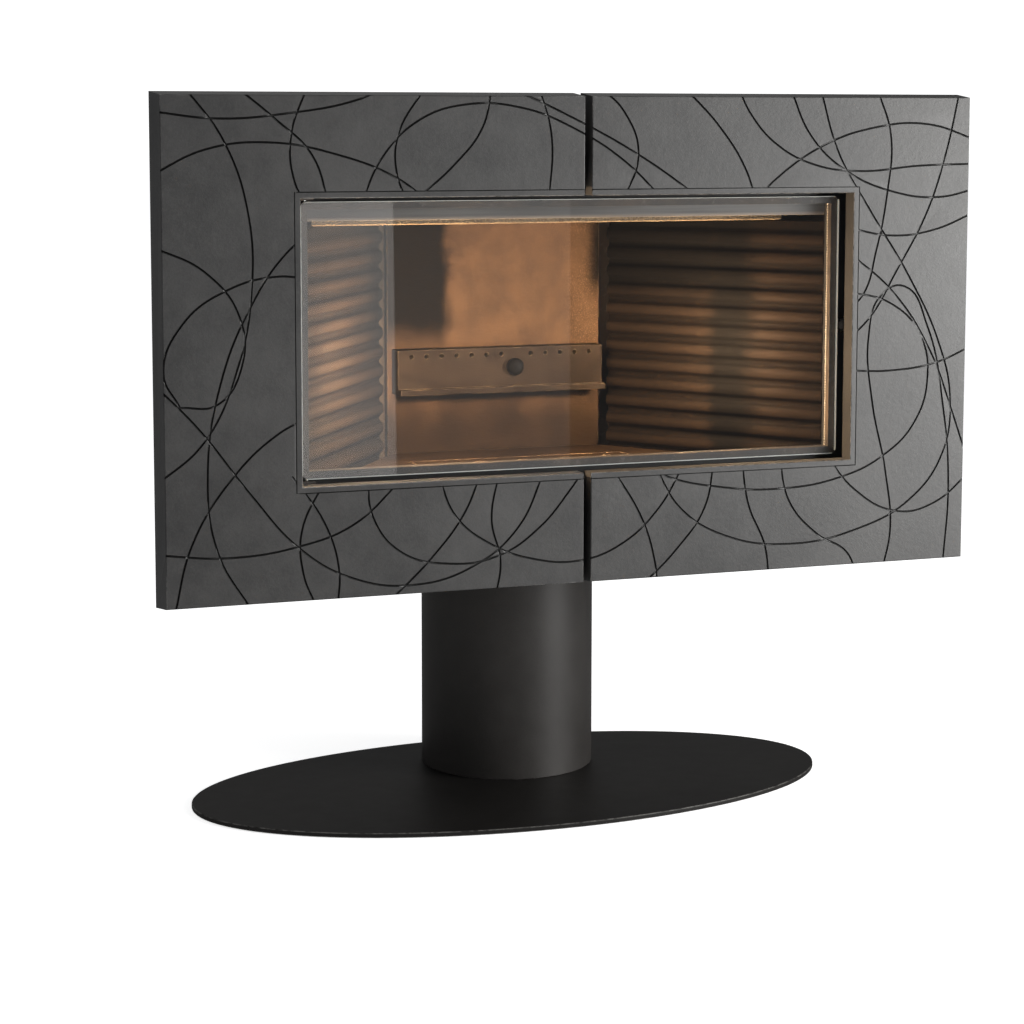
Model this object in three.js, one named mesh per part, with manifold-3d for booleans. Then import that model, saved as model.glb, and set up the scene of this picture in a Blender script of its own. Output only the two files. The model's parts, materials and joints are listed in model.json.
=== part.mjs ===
// Wood burning stove on a round pedestal, with a split cast facade round a frameless glass door.
// Millimetres. X runs across the front, Y from the front to the back, Z up.
import * as THREE from "three";
import { mergeVertices } from "three/addons/utils/BufferGeometryUtils.js";
import Module from "manifold-3d";

const wasm = await Module();
wasm.setup();

// ---------------------------------------------------------------- driving sizes

// Gap left between two pieces that touch on the real stove.
const seat = 0.3;

// Facade: two cast halves with a folded edge, drafted outwards to the back.
const openingWidth = 687;
const openingHeight = 323;
const sideMargin = 156.5;
const marginBelow = 129;
const marginAbove = 114;
const facadeDepth = 38;
const facadeFlare = 4;
const facadeWall = 10;
const facadeEdgeWall = 8;
const splitGap = 9;
const reveal = 22;
const revealWall = 6;
const bossRadius = 9;
const bossInset = 20;
const bossFromSplit = 40;
const threadDepth = 16;
const threadSpare = 3;
const screwClearance = 0.5;

// Base plate and pedestal.
const baseLength = 808;
const baseDepth = 424;
const baseThickness = 6;
const baseOffsetX = -28;
const baseOffsetY = 96;
const pedestalHeight = 286;
const pedestalRadius = 109;
const pedestalWall = 4;
const pedestalRearMargin = 11;
const ringWidth = 42;
const ringThickness = 8;
const ringBoltRadius = 5;
const ringBoltCount = 4;
const boltEndInset = 1;
const boltStandOut = 4;

// Steel front frame that carries the facade, the door and the firebox.
const frameFront = 42;
const frameThickness = 5;
const frameLap = 8.5;

// Door: frameless pane, slim steel ring behind it, rope seal.
const paneGapSide = 6.5;
const paneGapEnd = 4.5;
const paneFront = 25;
const paneThickness = 4;
const doorRingWidth = 9;
const doorRingDepth = 8;
const sealWidth = 5;
const sealDepth = 3.5;
const sealSetIn = 0.5;
const hingeInset = 6;
const hingeDepth = 7.5;
const hingePinRadius = 2.5;
const hingeEarThickness = 4;
const hingeEarGap = 1.5;
const hingeEarWidth = 18;
const hingeLeafHeight = 22;
const hingeLeafThickness = 3;
const pinStandOut = 1;
const pinClearance = 0.3;

// Roller catch on the closing side.
const rollerRadius = 5;
const rollerHeight = 10;
const rollerPinRadius = 1.6;
const strikeThickness = 3.4;
const strikeHeight = 34;
const strikeSetIn = 1;
const catchTravel = 3;
const forkThickness = 2;
const forkLength = 16;
const forkEdge = 1;
const housingSpare = 3;
const housingNear = 2;
const housingWall = 2;

// Firebox, cast lining and casing.
const fireboxPlate = 5;
const fireboxWall = 16;
const fireboxDepth = 270;
const hearthThickness = 12;
const hearthDrop = 11.7;
const linerThickness = 10;
const linerFrontGap = 5;
const linerPaneGap = 1.5;
const linerCorner = 150;
const linerTopDrop = 36;
const ribPitch = 24;
const ribHeight = 6;
const ribGroove = 5;
const rearGap = 10;
const casingSheet = 2;
const casingLap = 28.5;
const casingInset = 8;
const casingAbove = 64;
const casingRear = 48;
const roofGap = 35;
const ventCount = 9;
const ventLength = 54;
const ventWidth = 7;
const ventEndInset = 52;
const ventTopInset = 22;
const ventRows = [40, 60];
const flueHoleGap = 2;

// Grate, ash pan and the well that the pan stands in.
const grateLength = 280;
const grateWidth = 150;
const grateThickness = 8;
const grateLap = 9;
const grateBars = 9;
const grateSlot = 12;
const grateEndBar = 28;
const grateSideBar = 22;
const grateCentreY = 165;
const fitGap = 2;
const panDepth = 42;
const panSheet = 1.5;
const panClearance = 4;
const wellClearance = 5;

// Air, smoke and small fittings inside the firebox.
const manifoldBottom = 84;
const manifoldHeight = 49;
const manifoldReach = 26;
const manifoldLipHeight = 7;
const manifoldLipReach = 12;
const manifoldBoltRadius = 11;
const manifoldBoltX = 18;
const jetRadius = 3;
const jetCount = 13;
const jetEndInset = 18;
const jetDrop = 8;
const jetFloor = 6;
const manifoldEndGap = 12;
const boltHeadRim = 4;
const boltHeadShoulder = 8;
const boltHeadHeight = 9;
const washDrop = 14.5;
const washSheet = 2;
const washReach = 26;
const washUpright = 10;
const washSlant = 3;
const washEndGap = 6;
const baffleThickness = 18;
const baffleSmokeGap = 62;
const baffleLap = 6;
const flueRadius = 75;
const flueWall = 3;
const flueStandsOut = 31;
const flueFlange = 20;
const flangeThickness = 4;
const flueSetback = 152;
const intakeRadius = 50;
const intakeWall = 2;
const intakeLength = 40;
const intakeHeight = 60;
const intakeFlange = 12;
const controlTravel = 24;
const controlSlot = 8;
const controlLength = 170;
const controlLap = 76;
const controlWidth = 44;
const controlSetback = 30;
const controlX = 150;
const controlSlotSpare = 6;
const portGap = 2;
const knobRadius = 9;
const knobHeight = 14;
const stemRadius = 3;
const stemLength = 6;

// ---------------------------------------------------------------- derived places

const facadeWidth = openingWidth + 2 * sideMargin;
const facadeHeight = openingHeight + marginBelow + marginAbove;
const casingBottom = baseThickness + pedestalHeight;
const facadeBottom = casingBottom - casingInset;
const facadeTop = facadeBottom + facadeHeight;
const openingBottom = facadeBottom + marginBelow;
const openingTop = openingBottom + openingHeight;
const openingMiddle = (openingBottom + openingTop) / 2;
const casingTop = openingTop + casingAbove;

const frameBack = frameFront + frameThickness;
const linerBack = frameBack + linerFrontGap + fireboxDepth;
const fireboxRear = linerBack + linerThickness + rearGap;
const casingBack = fireboxRear + fireboxPlate + casingRear;
const pedestalY = casingBack - pedestalRadius - pedestalRearMargin;
const baseY = pedestalY - baseOffsetY;

const paneHalf = openingWidth / 2 - paneGapSide;
const paneBottom = openingBottom + paneGapEnd;
const paneTop = openingTop - paneGapEnd;
const paneBack = paneFront + paneThickness;
const ringFront = paneBack + seat;
const ringBack = ringFront + doorRingDepth;
const sealFront = ringBack + seat;
const sealBack = sealFront + sealDepth;
const hingeX = -paneHalf + hingeInset;
const hingeY = paneFront + hingeDepth;

const frameHoleHalf = paneHalf - frameLap;
const frameHoleBottom = paneBottom + frameLap;
const frameHoleTop = paneTop - frameLap;
const linerFrontX = paneHalf - linerPaneGap;
const linerLean = Math.atan2(linerFrontX - linerCorner, fireboxDepth);
const hearthTop = openingBottom - hearthDrop;
const hearthBottom = hearthTop - hearthThickness;
const floorTop = hearthBottom - seat;
const linerTop = openingTop - linerTopDrop;
const fireboxHalf = linerFrontX + fireboxWall;
const roofBottom = casingTop - casingSheet - roofGap - fireboxPlate;
const roofTop = roofBottom + fireboxPlate;
const flueY = casingBack - flueSetback;
const casingHalf = openingWidth / 2 + casingLap;

const grateBottom = hearthTop - grateThickness;
const hearthHoleX = grateLength / 2 - grateLap;
const hearthHoleY = grateWidth / 2 - grateLap;
const panHalfX = hearthHoleX - panClearance;
const panHalfY = hearthHoleY - panClearance;
const panTop = floorTop - fireboxPlate - seat;
const panBottom = panTop - panDepth;
const wellHalfX = hearthHoleX + wellClearance;
const wellHalfY = hearthHoleY + wellClearance;

// ---------------------------------------------------------------- materials

function paint(color, roughness, metalness) {
  return new THREE.MeshStandardMaterial({ color, roughness, metalness });
}

const castGrey = () => paint(0x55555a, 0.62, 0.35);
const satinBlack = () => paint(0x2b2928, 0.55, 0.3);
const sheetBlack = () => paint(0x1f1f20, 0.6, 0.25);
const boilerSteel = () => paint(0x37332f, 0.75, 0.4);
const sootedCast = () => paint(0x6a4c30, 0.85, 0.2);
const brightSteel = () => paint(0x9a9a9c, 0.35, 0.9);
const ropeGrey = () => paint(0x77736b, 0.95, 0);
const vermiculite = () => paint(0x8f7b5c, 0.95, 0);
const paneGlass = () =>
  new THREE.MeshStandardMaterial({
    color: 0x9aa09c,
    roughness: 0.03,
    metalness: 0,
    transparent: true,
    opacity: 0.35,
  });

// ---------------------------------------------------------------- shape helpers

// A closed geometry as a solid that can be cut and joined.
function toSolid(geometry) {
  const bare = geometry.clone();
  bare.deleteAttribute("normal");
  bare.deleteAttribute("uv");
  const merged = mergeVertices(bare, 1e-3);
  const vertProperties = merged.attributes.position.array;
  const triVerts = new Uint32Array(merged.index.array);
  return new wasm.Manifold(new wasm.Mesh({ numProp: 3, vertProperties, triVerts }));
}

// A solid as a geometry that a mesh can show.
function toGeometry(solid) {
  const mesh = solid.getMesh();
  const geometry = new THREE.BufferGeometry();
  geometry.setAttribute("position", new THREE.BufferAttribute(mesh.vertProperties, 3));
  geometry.setIndex(new THREE.BufferAttribute(mesh.triVerts, 1));
  geometry.computeVertexNormals();
  return geometry;
}

function cut(body, ...tools) {
  let solid = toSolid(body);
  for (const tool of tools) solid = solid.subtract(toSolid(tool));
  return toGeometry(solid);
}

function join(...bodies) {
  let solid = toSolid(bodies[0]);
  for (const body of bodies.slice(1)) solid = solid.add(toSolid(body));
  return toGeometry(solid);
}

// A block between two limits on each axis.
function block([x0, x1], [y0, y1], [z0, z1]) {
  const geometry = new THREE.BoxGeometry(x1 - x0, y1 - y0, z1 - z0);
  return geometry.translate((x0 + x1) / 2, (y0 + y1) / 2, (z0 + z1) / 2);
}

function extrude(shape, depth, curveSegments = 48) {
  return new THREE.ExtrudeGeometry(shape, { depth, bevelEnabled: false, curveSegments });
}

// A shape drawn in X and Y, raised from one height to another.
function raised(shape, z0, z1) {
  return extrude(shape, z1 - z0).translate(0, 0, z0);
}

// A shape drawn in X and Z, pushed from one depth to another.
function pushed(shape, y0, y1) {
  return extrude(shape, y1 - y0).rotateX(Math.PI / 2).translate(0, y1, 0);
}

// A profile drawn in Y and Z, drawn out from one X to another.
function drawn(shape, x0, x1) {
  const turn = new THREE.Matrix4().makeBasis(
    new THREE.Vector3(0, 1, 0),
    new THREE.Vector3(0, 0, 1),
    new THREE.Vector3(1, 0, 0),
  );
  return extrude(shape, x1 - x0).applyMatrix4(turn).translate(x0, 0, 0);
}

function polygon(points) {
  return new THREE.Shape(points.map(([a, b]) => new THREE.Vector2(a, b)));
}

function rectangle([a0, a1], [b0, b1]) {
  return polygon([[a0, b0], [a1, b0], [a1, b1], [a0, b1]]);
}

// Points along an arc, from one angle to another.
function arc(a, b, radius, from, to, steps) {
  return Array.from({ length: steps + 1 }, (_, i) => {
    const angle = from + ((to - from) * i) / steps;
    return [a + radius * Math.cos(angle), b + radius * Math.sin(angle)];
  });
}

function disc(a, b, radius, sides = 16) {
  return polygon(arc(a, b, radius, 0, 2 * Math.PI, sides).slice(0, sides));
}

// A slot with round ends, its long side along the first axis.
function slot(a, b, length, width) {
  const half = length / 2 - width / 2;
  const right = Math.PI / 2;
  return polygon([
    ...arc(a + half, b, width / 2, -right, right, 4),
    ...arc(a - half, b, width / 2, right, 3 * right, 4),
  ]);
}

function withHoles(shape, holes) {
  shape.holes.push(...holes);
  return shape;
}

// A turned piece: its profile of [radius, height] points goes round the Z axis.
function turned(profile, segments) {
  const points = profile.map(([radius, height]) => new THREE.Vector2(radius, height));
  return new THREE.LatheGeometry(points, segments).rotateX(Math.PI / 2);
}

// A round bar along Z.
function bar(radius, z0, z1, segments = 16) {
  const geometry = new THREE.CylinderGeometry(radius, radius, z1 - z0, segments);
  return geometry.rotateX(Math.PI / 2).translate(0, 0, (z0 + z1) / 2);
}

// A tube along Z, made as a closed ring profile.
function tube(outer, wall, z0, z1, segments) {
  const inner = outer - wall;
  return turned([[inner, z0], [outer, z0], [outer, z1], [inner, z1], [inner, z0]], segments);
}

// A hexagon screw along Z with its head above zero and its shank below.
function hexScrew(radius, length) {
  const headHeight = 1.3 * radius;
  const head = new THREE.CylinderGeometry(1.9 * radius, 1.9 * radius, headHeight, 6);
  head.rotateX(Math.PI / 2).translate(0, 0, headHeight / 2);
  return join(head, bar(radius, -length, headHeight / 2, 12));
}

// Two values with the smaller one first.
function sorted(a, b) {
  return [Math.min(a, b), Math.max(a, b)];
}

// Evenly spread values from one end to the other.
function spread(count, first, last) {
  return Array.from({ length: count }, (_, i) => first + ((last - first) * i) / (count - 1));
}

const stove = new THREE.Group();

function add(name, geometry, material) {
  const mesh = new THREE.Mesh(geometry, material);
  mesh.name = name;
  stove.add(mesh);
  return mesh;
}

// ---------------------------------------------------------------- base and pedestal

// Places of the bolts on a ring of the pedestal.
function ringBoltPlaces() {
  const boltCircle = pedestalRadius - pedestalWall - ringWidth / 2;
  return Array.from({ length: ringBoltCount }, (_, i) => {
    const angle = ((i + 0.5) * 2 * Math.PI) / ringBoltCount;
    return [boltCircle * Math.cos(angle), pedestalY + boltCircle * Math.sin(angle)];
  });
}

function ringBoltHoles() {
  return ringBoltPlaces().map(([x, y]) => disc(x, y, ringBoltRadius + seat));
}

function pedestalRing(z0, z1) {
  const outer = pedestalRadius - pedestalWall - seat;
  const shape = disc(0, pedestalY, outer, 48);
  const centreHole = disc(0, pedestalY, pedestalRadius - pedestalWall - ringWidth, 32);
  return raised(withHoles(shape, [centreHole, ...ringBoltHoles()]), z0, z1);
}

function buildBase() {
  const outline = new THREE.Shape();
  outline.absellipse(baseOffsetX, baseY, baseLength / 2, baseDepth / 2, 0, 2 * Math.PI);
  add("base_plate", raised(withHoles(outline, ringBoltHoles()), 0, baseThickness), satinBlack());

  const tubeBottom = baseThickness + seat;
  const tubeTop = casingBottom - seat;
  const shell = tube(pedestalRadius, pedestalWall, tubeBottom, tubeTop, 64);
  add("pedestal_tube", shell.translate(0, pedestalY, 0), satinBlack());

  const footTop = tubeBottom + ringThickness;
  const headBottom = tubeTop - ringThickness;
  add("pedestal_foot_ring", pedestalRing(tubeBottom, footTop), boilerSteel());
  add("pedestal_head_ring", pedestalRing(headBottom, tubeTop), boilerSteel());

  ringBoltPlaces().forEach(([x, y], i) => {
    const footBolt = add(
      `foot_bolt_${i + 1}`,
      hexScrew(ringBoltRadius, ringThickness + baseThickness - boltEndInset),
      brightSteel(),
    );
    footBolt.position.set(x, y, footTop + seat);
    const headBolt = add(
      `head_bolt_${i + 1}`,
      hexScrew(ringBoltRadius, ringThickness + casingSheet + boltStandOut),
      brightSteel(),
    );
    headBolt.position.set(x, y, headBottom - seat);
    headBolt.rotation.x = Math.PI;
  });
}

// ---------------------------------------------------------------- facade

// Centres of the bosses that a facade half is bolted by, as [x, z] on the right half.
function bossPlaces() {
  const outerX = casingHalf - bossInset;
  const innerX = splitGap / 2 + bossFromSplit;
  const upper = (openingTop + revealWall + casingTop) / 2;
  const lower = (openingBottom - revealWall + casingBottom) / 2;
  return [[outerX, upper], [outerX, lower], [innerX, upper]];
}

// One half of the facade, for the right side; the left half is its mirror image.
function facadeHalf() {
  const halfWidth = facadeWidth / 2;
  const middle = (facadeBottom + facadeTop) / 2;
  const inner = splitGap / 2;
  const body = block([inner, halfWidth], [0, facadeDepth], [facadeBottom, facadeTop]);
  const corners = body.attributes.position;
  for (let i = 0; i < corners.count; i++) {
    if (corners.getY(i) < facadeDepth / 2) continue;
    if (corners.getX(i) > inner + 1) corners.setX(i, halfWidth + facadeFlare);
    corners.setZ(i, corners.getZ(i) + Math.sign(corners.getZ(i) - middle) * facadeFlare);
  }

  const openingHalf = openingWidth / 2;
  const opening = block([-1, openingHalf], [-1, facadeDepth + 1], [openingBottom, openingTop]);
  const behind = block(
    [-1, openingHalf + revealWall + 1],
    [reveal, facadeDepth + 1],
    [openingBottom - revealWall - 1, openingTop + revealWall + 1],
  );
  const pocketAll = block(
    [inner + facadeEdgeWall, halfWidth - facadeEdgeWall],
    [facadeWall, facadeDepth + 1],
    [facadeBottom + facadeEdgeWall, facadeTop - facadeEdgeWall],
  );
  const pocketKept = block(
    [-2, openingHalf + revealWall],
    [facadeWall - 1, facadeDepth + 2],
    [openingBottom - revealWall, openingTop + revealWall],
  );
  const pocket = cut(pocketAll, pocketKept);
  const shell = cut(body, opening, pocket, behind);
  const bossEnd = frameFront - seat;
  const bosses = bossPlaces().map(([x, z]) =>
    pushed(disc(x, z, bossRadius), facadeWall - 1, bossEnd),
  );
  const threads = bossPlaces().map(([x, z]) =>
    pushed(disc(x, z, bossRadius / 2, 12), bossEnd - threadDepth, bossEnd + 1),
  );
  return cut(join(shell, ...bosses), ...threads);
}

// The mirror image of a geometry across X = 0, with its faces still pointing out.
function mirrored(geometry) {
  const solid = toSolid(geometry).mirror([1, 0, 0]);
  return toGeometry(solid);
}

function buildFacade() {
  const right = facadeHalf();
  add("facade_right", right, castGrey());
  add("facade_left", mirrored(right), castGrey());

  const outline = rectangle([-casingHalf, casingHalf], [casingBottom, casingTop]);
  const hole = rectangle([-frameHoleHalf, frameHoleHalf], [frameHoleBottom, frameHoleTop]);
  const screwRadius = bossRadius / 2 - screwClearance;
  const places = [-1, 1].flatMap((side) => bossPlaces().map(([x, z]) => [side * x, z]));
  const screwHoles = places.map(([x, z]) => disc(x, z, screwRadius + seat));
  add(
    "front_frame",
    pushed(withHoles(outline, [hole, ...screwHoles]), frameFront, frameBack),
    sheetBlack(),
  );
  const screwLength = frameThickness + threadDepth - threadSpare;
  places.forEach(([x, z], i) => {
    const screw = add(`facade_screw_${i + 1}`, hexScrew(screwRadius, screwLength), brightSteel());
    screw.position.set(x, frameBack + seat, z);
    screw.rotation.x = -Math.PI / 2;
  });
}

// ---------------------------------------------------------------- casing and firebox

// Depth of an air control's stem, and of the ports that its shutter opens.
const stemY = frameBack + controlSetback;
const portY = stemY + controlWidth / 2;

// Ports of an air control, moved aside by a shift.
function controlPorts(shift) {
  const pitch = 2 * controlTravel;
  const places = spread(3, controlX - pitch, controlX + pitch);
  return places.map((x) => slot(x + shift, portY, controlTravel - portGap, controlSlot));
}

// Openings of an air control in its casing sheet: the stem's slot and the ports.
function controlOpenings() {
  const length = controlTravel + 2 * stemRadius + controlSlotSpare;
  return [slot(controlX + controlTravel / 2, stemY, length, controlSlot), ...controlPorts(0)];
}

function buildCasing() {
  const front = frameBack + seat;
  const low = casingBottom + casingSheet + seat;
  const high = casingTop - casingSheet - seat;
  const backFront = casingBack - casingSheet;
  const floorOutline = rectangle([-casingHalf, casingHalf], [front, casingBack]);
  const duct = disc(0, pedestalY, pedestalRadius - pedestalWall - ringWidth, 32);
  const floorShape = withHoles(floorOutline, [
    duct,
    ...ringBoltHoles(),
    ...controlOpenings(),
  ]);
  add("casing_bottom", raised(floorShape, casingBottom, casingBottom + casingSheet), sheetBlack());

  const ventX = spread(ventCount, -casingHalf + ventEndInset, casingHalf - ventEndInset);
  const topVentY = casingBack - casingSheet - ventTopInset;
  const topVents = ventX.map((x) => slot(x, topVentY, ventLength, ventWidth));
  const topOutline = rectangle([-casingHalf, casingHalf], [front, casingBack]);
  const topShape = withHoles(topOutline, [
    disc(0, flueY, flueRadius + flueHoleGap, 40),
    ...controlOpenings(),
    ...topVents,
  ]);
  add("casing_top", raised(topShape, casingTop - casingSheet, casingTop), sheetBlack());

  for (const [name, side] of [["casing_left", -1], ["casing_right", 1]]) {
    const sideX = sorted(side * casingHalf, side * (casingHalf - casingSheet));
    const panel = block(sideX, [front, backFront - seat], [low, high]);
    add(name, panel, sheetBlack());
  }

  const rearVents = ventX.flatMap((x) =>
    ventRows.map((drop) => slot(x, high - drop, ventLength, ventWidth)),
  );
  const intakeHole = disc(0, casingBottom + intakeHeight, intakeRadius - intakeWall, 32);
  const backOutline = rectangle([-casingHalf, casingHalf], [low, high]);
  add(
    "casing_back",
    pushed(withHoles(backOutline, [intakeHole, ...rearVents]), backFront, casingBack),
    sheetBlack(),
  );

  const intakeBack = casingBack + intakeLength;
  const flangeBack = casingBack + seat + flangeThickness;
  const intake = turned(
    [
      [intakeRadius - intakeWall, casingBack + seat],
      [intakeRadius + intakeFlange, casingBack + seat],
      [intakeRadius + intakeFlange, flangeBack],
      [intakeRadius, flangeBack],
      [intakeRadius, intakeBack],
      [intakeRadius - intakeWall, intakeBack],
      [intakeRadius - intakeWall, casingBack + seat],
    ],
    32,
  );
  const spigot = add("air_intake_spigot", intake, sheetBlack());
  spigot.rotation.x = -Math.PI / 2;
  spigot.position.z = casingBottom + intakeHeight;
}

function buildFirebox() {
  const front = frameBack + seat;
  const floorBottom = floorTop - fireboxPlate;
  const wallBottom = floorTop + seat;
  const wallTop = roofBottom - seat;
  const well = rectangle(
    [-wellHalfX, wellHalfX],
    [grateCentreY - wellHalfY, grateCentreY + wellHalfY],
  );
  const rear = fireboxRear + fireboxPlate;
  const floorShape = withHoles(rectangle([-fireboxHalf, fireboxHalf], [front, rear]), [well]);
  add("firebox_floor", raised(floorShape, floorBottom, floorTop), boilerSteel());
  const roofShape = withHoles(rectangle([-fireboxHalf, fireboxHalf], [front, rear]), [
    disc(0, flueY, flueRadius - flueWall, 40),
  ]);
  add("firebox_roof", raised(roofShape, roofBottom, roofTop), boilerSteel());
  const heights = [wallBottom, wallTop];
  const depths = [front, fireboxRear - seat];
  const inside = fireboxHalf - fireboxPlate;
  add("firebox_left", block([-fireboxHalf, -inside], depths, heights), boilerSteel());
  add("firebox_right", block([inside, fireboxHalf], depths, heights), boilerSteel());
  add("firebox_back", block([-fireboxHalf, fireboxHalf], [fireboxRear, rear], heights), boilerSteel());

  const wellTop = floorBottom - seat;
  const wellBottom = panBottom - seat - panSheet;
  const wellOuter = block(
    [-wellHalfX - panSheet, wellHalfX + panSheet],
    [grateCentreY - wellHalfY - panSheet, grateCentreY + wellHalfY + panSheet],
    [wellBottom, wellTop],
  );
  const wellInner = block(
    [-wellHalfX, wellHalfX],
    [grateCentreY - wellHalfY, grateCentreY + wellHalfY],
    [wellBottom + panSheet, wellTop + 1],
  );
  add("ash_well", cut(wellOuter, wellInner), boilerSteel());

  const collarBottom = roofTop + seat;
  const collarTop = casingTop + flueStandsOut;
  const collar = turned(
    [
      [flueRadius - flueWall, collarBottom],
      [flueRadius + flueFlange, collarBottom],
      [flueRadius + flueFlange, collarBottom + flangeThickness],
      [flueRadius, collarBottom + flangeThickness],
      [flueRadius, collarTop],
      [flueRadius - flueWall, collarTop],
      [flueRadius - flueWall, collarBottom],
    ],
    40,
  );
  add("flue_collar", collar.translate(0, flueY, 0), boilerSteel());
}

// ---------------------------------------------------------------- cast lining and fittings

// Plan of the space between the linings, drawn in by a margin.
function hearthPlan(margin) {
  const frontY = frameBack + linerFrontGap;
  const frontX = linerFrontX - margin;
  const backX = linerCorner - margin;
  const backY = linerBack - fitGap;
  return polygon([[-frontX, frontY], [frontX, frontY], [backX, backY], [-backX, backY]]);
}

// Ribbed side lining in its own frame: ribs face +X, the cast runs along -Y from zero, Z up.
function sideLiner(length) {
  const bottom = floorTop + seat;
  const ribs = Math.floor((linerTop - bottom - ribGroove) / ribPitch);
  const margin = (linerTop - bottom - ribs * ribPitch + ribGroove) / 2;
  const width = ribPitch - ribGroove;
  const outline = [[-linerThickness, bottom], [0, bottom]];
  for (let i = 0; i < ribs; i++) {
    const low = bottom + margin + i * ribPitch;
    for (const t of [0, 0.18, 0.5, 0.82, 1]) {
      outline.push([ribHeight * Math.sqrt(Math.max(0, 1 - (2 * t - 1) ** 2)), low + width * t]);
    }
  }
  outline.push([0, linerTop], [-linerThickness, linerTop]);
  const shape = polygon(outline);
  return extrude(shape, length).rotateX(Math.PI / 2);
}

function buildLining() {
  const frontY = frameBack + linerFrontGap;
  const length = fireboxDepth / Math.cos(linerLean) - linerThickness;
  const linerRight = sideLiner(length)
    .translate(0, length, 0)
    .rotateZ(Math.PI)
    .translate(0, length, 0)
    .rotateZ(linerLean)
    .translate(linerFrontX, frontY + ribHeight * Math.sin(linerLean), 0);
  add("liner_right", linerRight, sootedCast());
  add("liner_left", mirrored(linerRight), sootedCast());

  const backHalf = linerCorner - ribHeight - seat;
  const rearBottom = floorTop + seat;
  const rearDepths = [linerBack, linerBack + linerThickness];
  const rearPlate = block([-backHalf, backHalf], rearDepths, [rearBottom, linerTop]);
  const manifoldLow = hearthTop + manifoldBottom;
  const manifoldHigh = manifoldLow + manifoldHeight;
  const boltHeight = (manifoldLow + manifoldHigh) / 2;
  const boltShank = manifoldBoltRadius / 2;
  const boltHole = pushed(
    disc(manifoldBoltX, boltHeight, boltShank + seat),
    linerBack - manifoldReach - 1,
    linerBack + linerThickness + 1,
  );
  add("liner_back", cut(rearPlate, boltHole), sootedCast());

  const manifoldBack = linerBack - seat;
  const manifoldProfile = polygon([
    [manifoldBack, manifoldHigh],
    [manifoldBack - manifoldReach, manifoldHigh],
    [manifoldBack - manifoldReach, manifoldLow],
    [manifoldBack - manifoldReach - manifoldLipReach, manifoldLow],
    [manifoldBack - manifoldReach - manifoldLipReach, manifoldLow - manifoldLipHeight],
    [manifoldBack, manifoldLow - manifoldLipHeight],
  ]);
  const manifoldHalf = linerCorner - manifoldEndGap;
  const jetDepths = [manifoldBack - manifoldReach - 1, manifoldBack - jetFloor];
  const jets = spread(jetCount, jetEndInset - manifoldHalf, manifoldHalf - jetEndInset)
    .filter((x) => Math.abs(x - manifoldBoltX) > manifoldBoltRadius + jetRadius + 1)
    .map((x) => pushed(disc(x, manifoldHigh - jetDrop, jetRadius, 8), ...jetDepths));
  add(
    "rear_air_manifold",
    cut(drawn(manifoldProfile, -manifoldHalf, manifoldHalf), boltHole, ...jets),
    sootedCast(),
  );
  const shankEnd = fitGap - linerThickness - manifoldReach;
  const boltHead = turned(
    [
      [0, shankEnd],
      [boltShank, shankEnd],
      [boltShank, 0],
      [manifoldBoltRadius, 0],
      [manifoldBoltRadius, boltHeadRim],
      [manifoldBoltRadius * 0.75, boltHeadShoulder],
      [0, boltHeadHeight],
    ],
    20,
  );
  const manifoldBolt = add("manifold_bolt", boltHead, satinBlack());
  manifoldBolt.position.set(manifoldBoltX, manifoldBack - manifoldReach - seat, boltHeight);
  manifoldBolt.rotation.x = Math.PI / 2;

  const rebate = block(
    [-grateLength / 2 - fitGap, grateLength / 2 + fitGap],
    [grateCentreY - grateWidth / 2 - fitGap, grateCentreY + grateWidth / 2 + fitGap],
    [grateBottom - seat, hearthTop + 1],
  );
  const shaft = block(
    [-hearthHoleX, hearthHoleX],
    [grateCentreY - hearthHoleY, grateCentreY + hearthHoleY],
    [hearthBottom - 1, hearthTop + 1],
  );
  const hearthMargin = (ribHeight + fitGap) / Math.cos(linerLean);
  const slab = raised(hearthPlan(hearthMargin), hearthBottom, hearthTop);
  add("hearth_plate", cut(slab, rebate, shaft), sootedCast());

  const grateOutline = rectangle(
    [-grateLength / 2, grateLength / 2],
    [grateCentreY - grateWidth / 2, grateCentreY + grateWidth / 2],
  );
  const slotEnd = grateLength / 2 - grateEndBar;
  const slotX = spread(grateBars, -slotEnd, slotEnd);
  const slotHalf = grateWidth / 2 - grateSideBar;
  const slotY = [grateCentreY - slotHalf, grateCentreY + slotHalf];
  const slots = slotX.map((x) =>
    block([x - grateSlot / 2, x + grateSlot / 2], slotY, [grateBottom - 1, hearthTop + 1]),
  );
  add("grate", cut(raised(grateOutline, grateBottom, hearthTop), ...slots), sootedCast());

  const panOuter = block(
    [-panHalfX, panHalfX],
    [grateCentreY - panHalfY, grateCentreY + panHalfY],
    [panBottom, panTop],
  );
  const panInner = block(
    [-panHalfX + panSheet, panHalfX - panSheet],
    [grateCentreY - panHalfY + panSheet, grateCentreY + panHalfY - panSheet],
    [panBottom + panSheet, panTop + 1],
  );
  add("ash_pan", cut(panOuter, panInner), boilerSteel());

  const baffleBottom = linerTop + seat;
  const baffleFront = frameBack + baffleSmokeGap;
  const frontX = linerFrontX - Math.tan(linerLean) * (baffleFront - frontY) + baffleLap;
  const backX = linerCorner + baffleLap;
  const bafflePlan = polygon([
    [-frontX, baffleFront],
    [frontX, baffleFront],
    [backX, linerBack + baffleLap],
    [-backX, linerBack + baffleLap],
  ]);
  add("baffle", raised(bafflePlan, baffleBottom, baffleBottom + baffleThickness), vermiculite());

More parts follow.
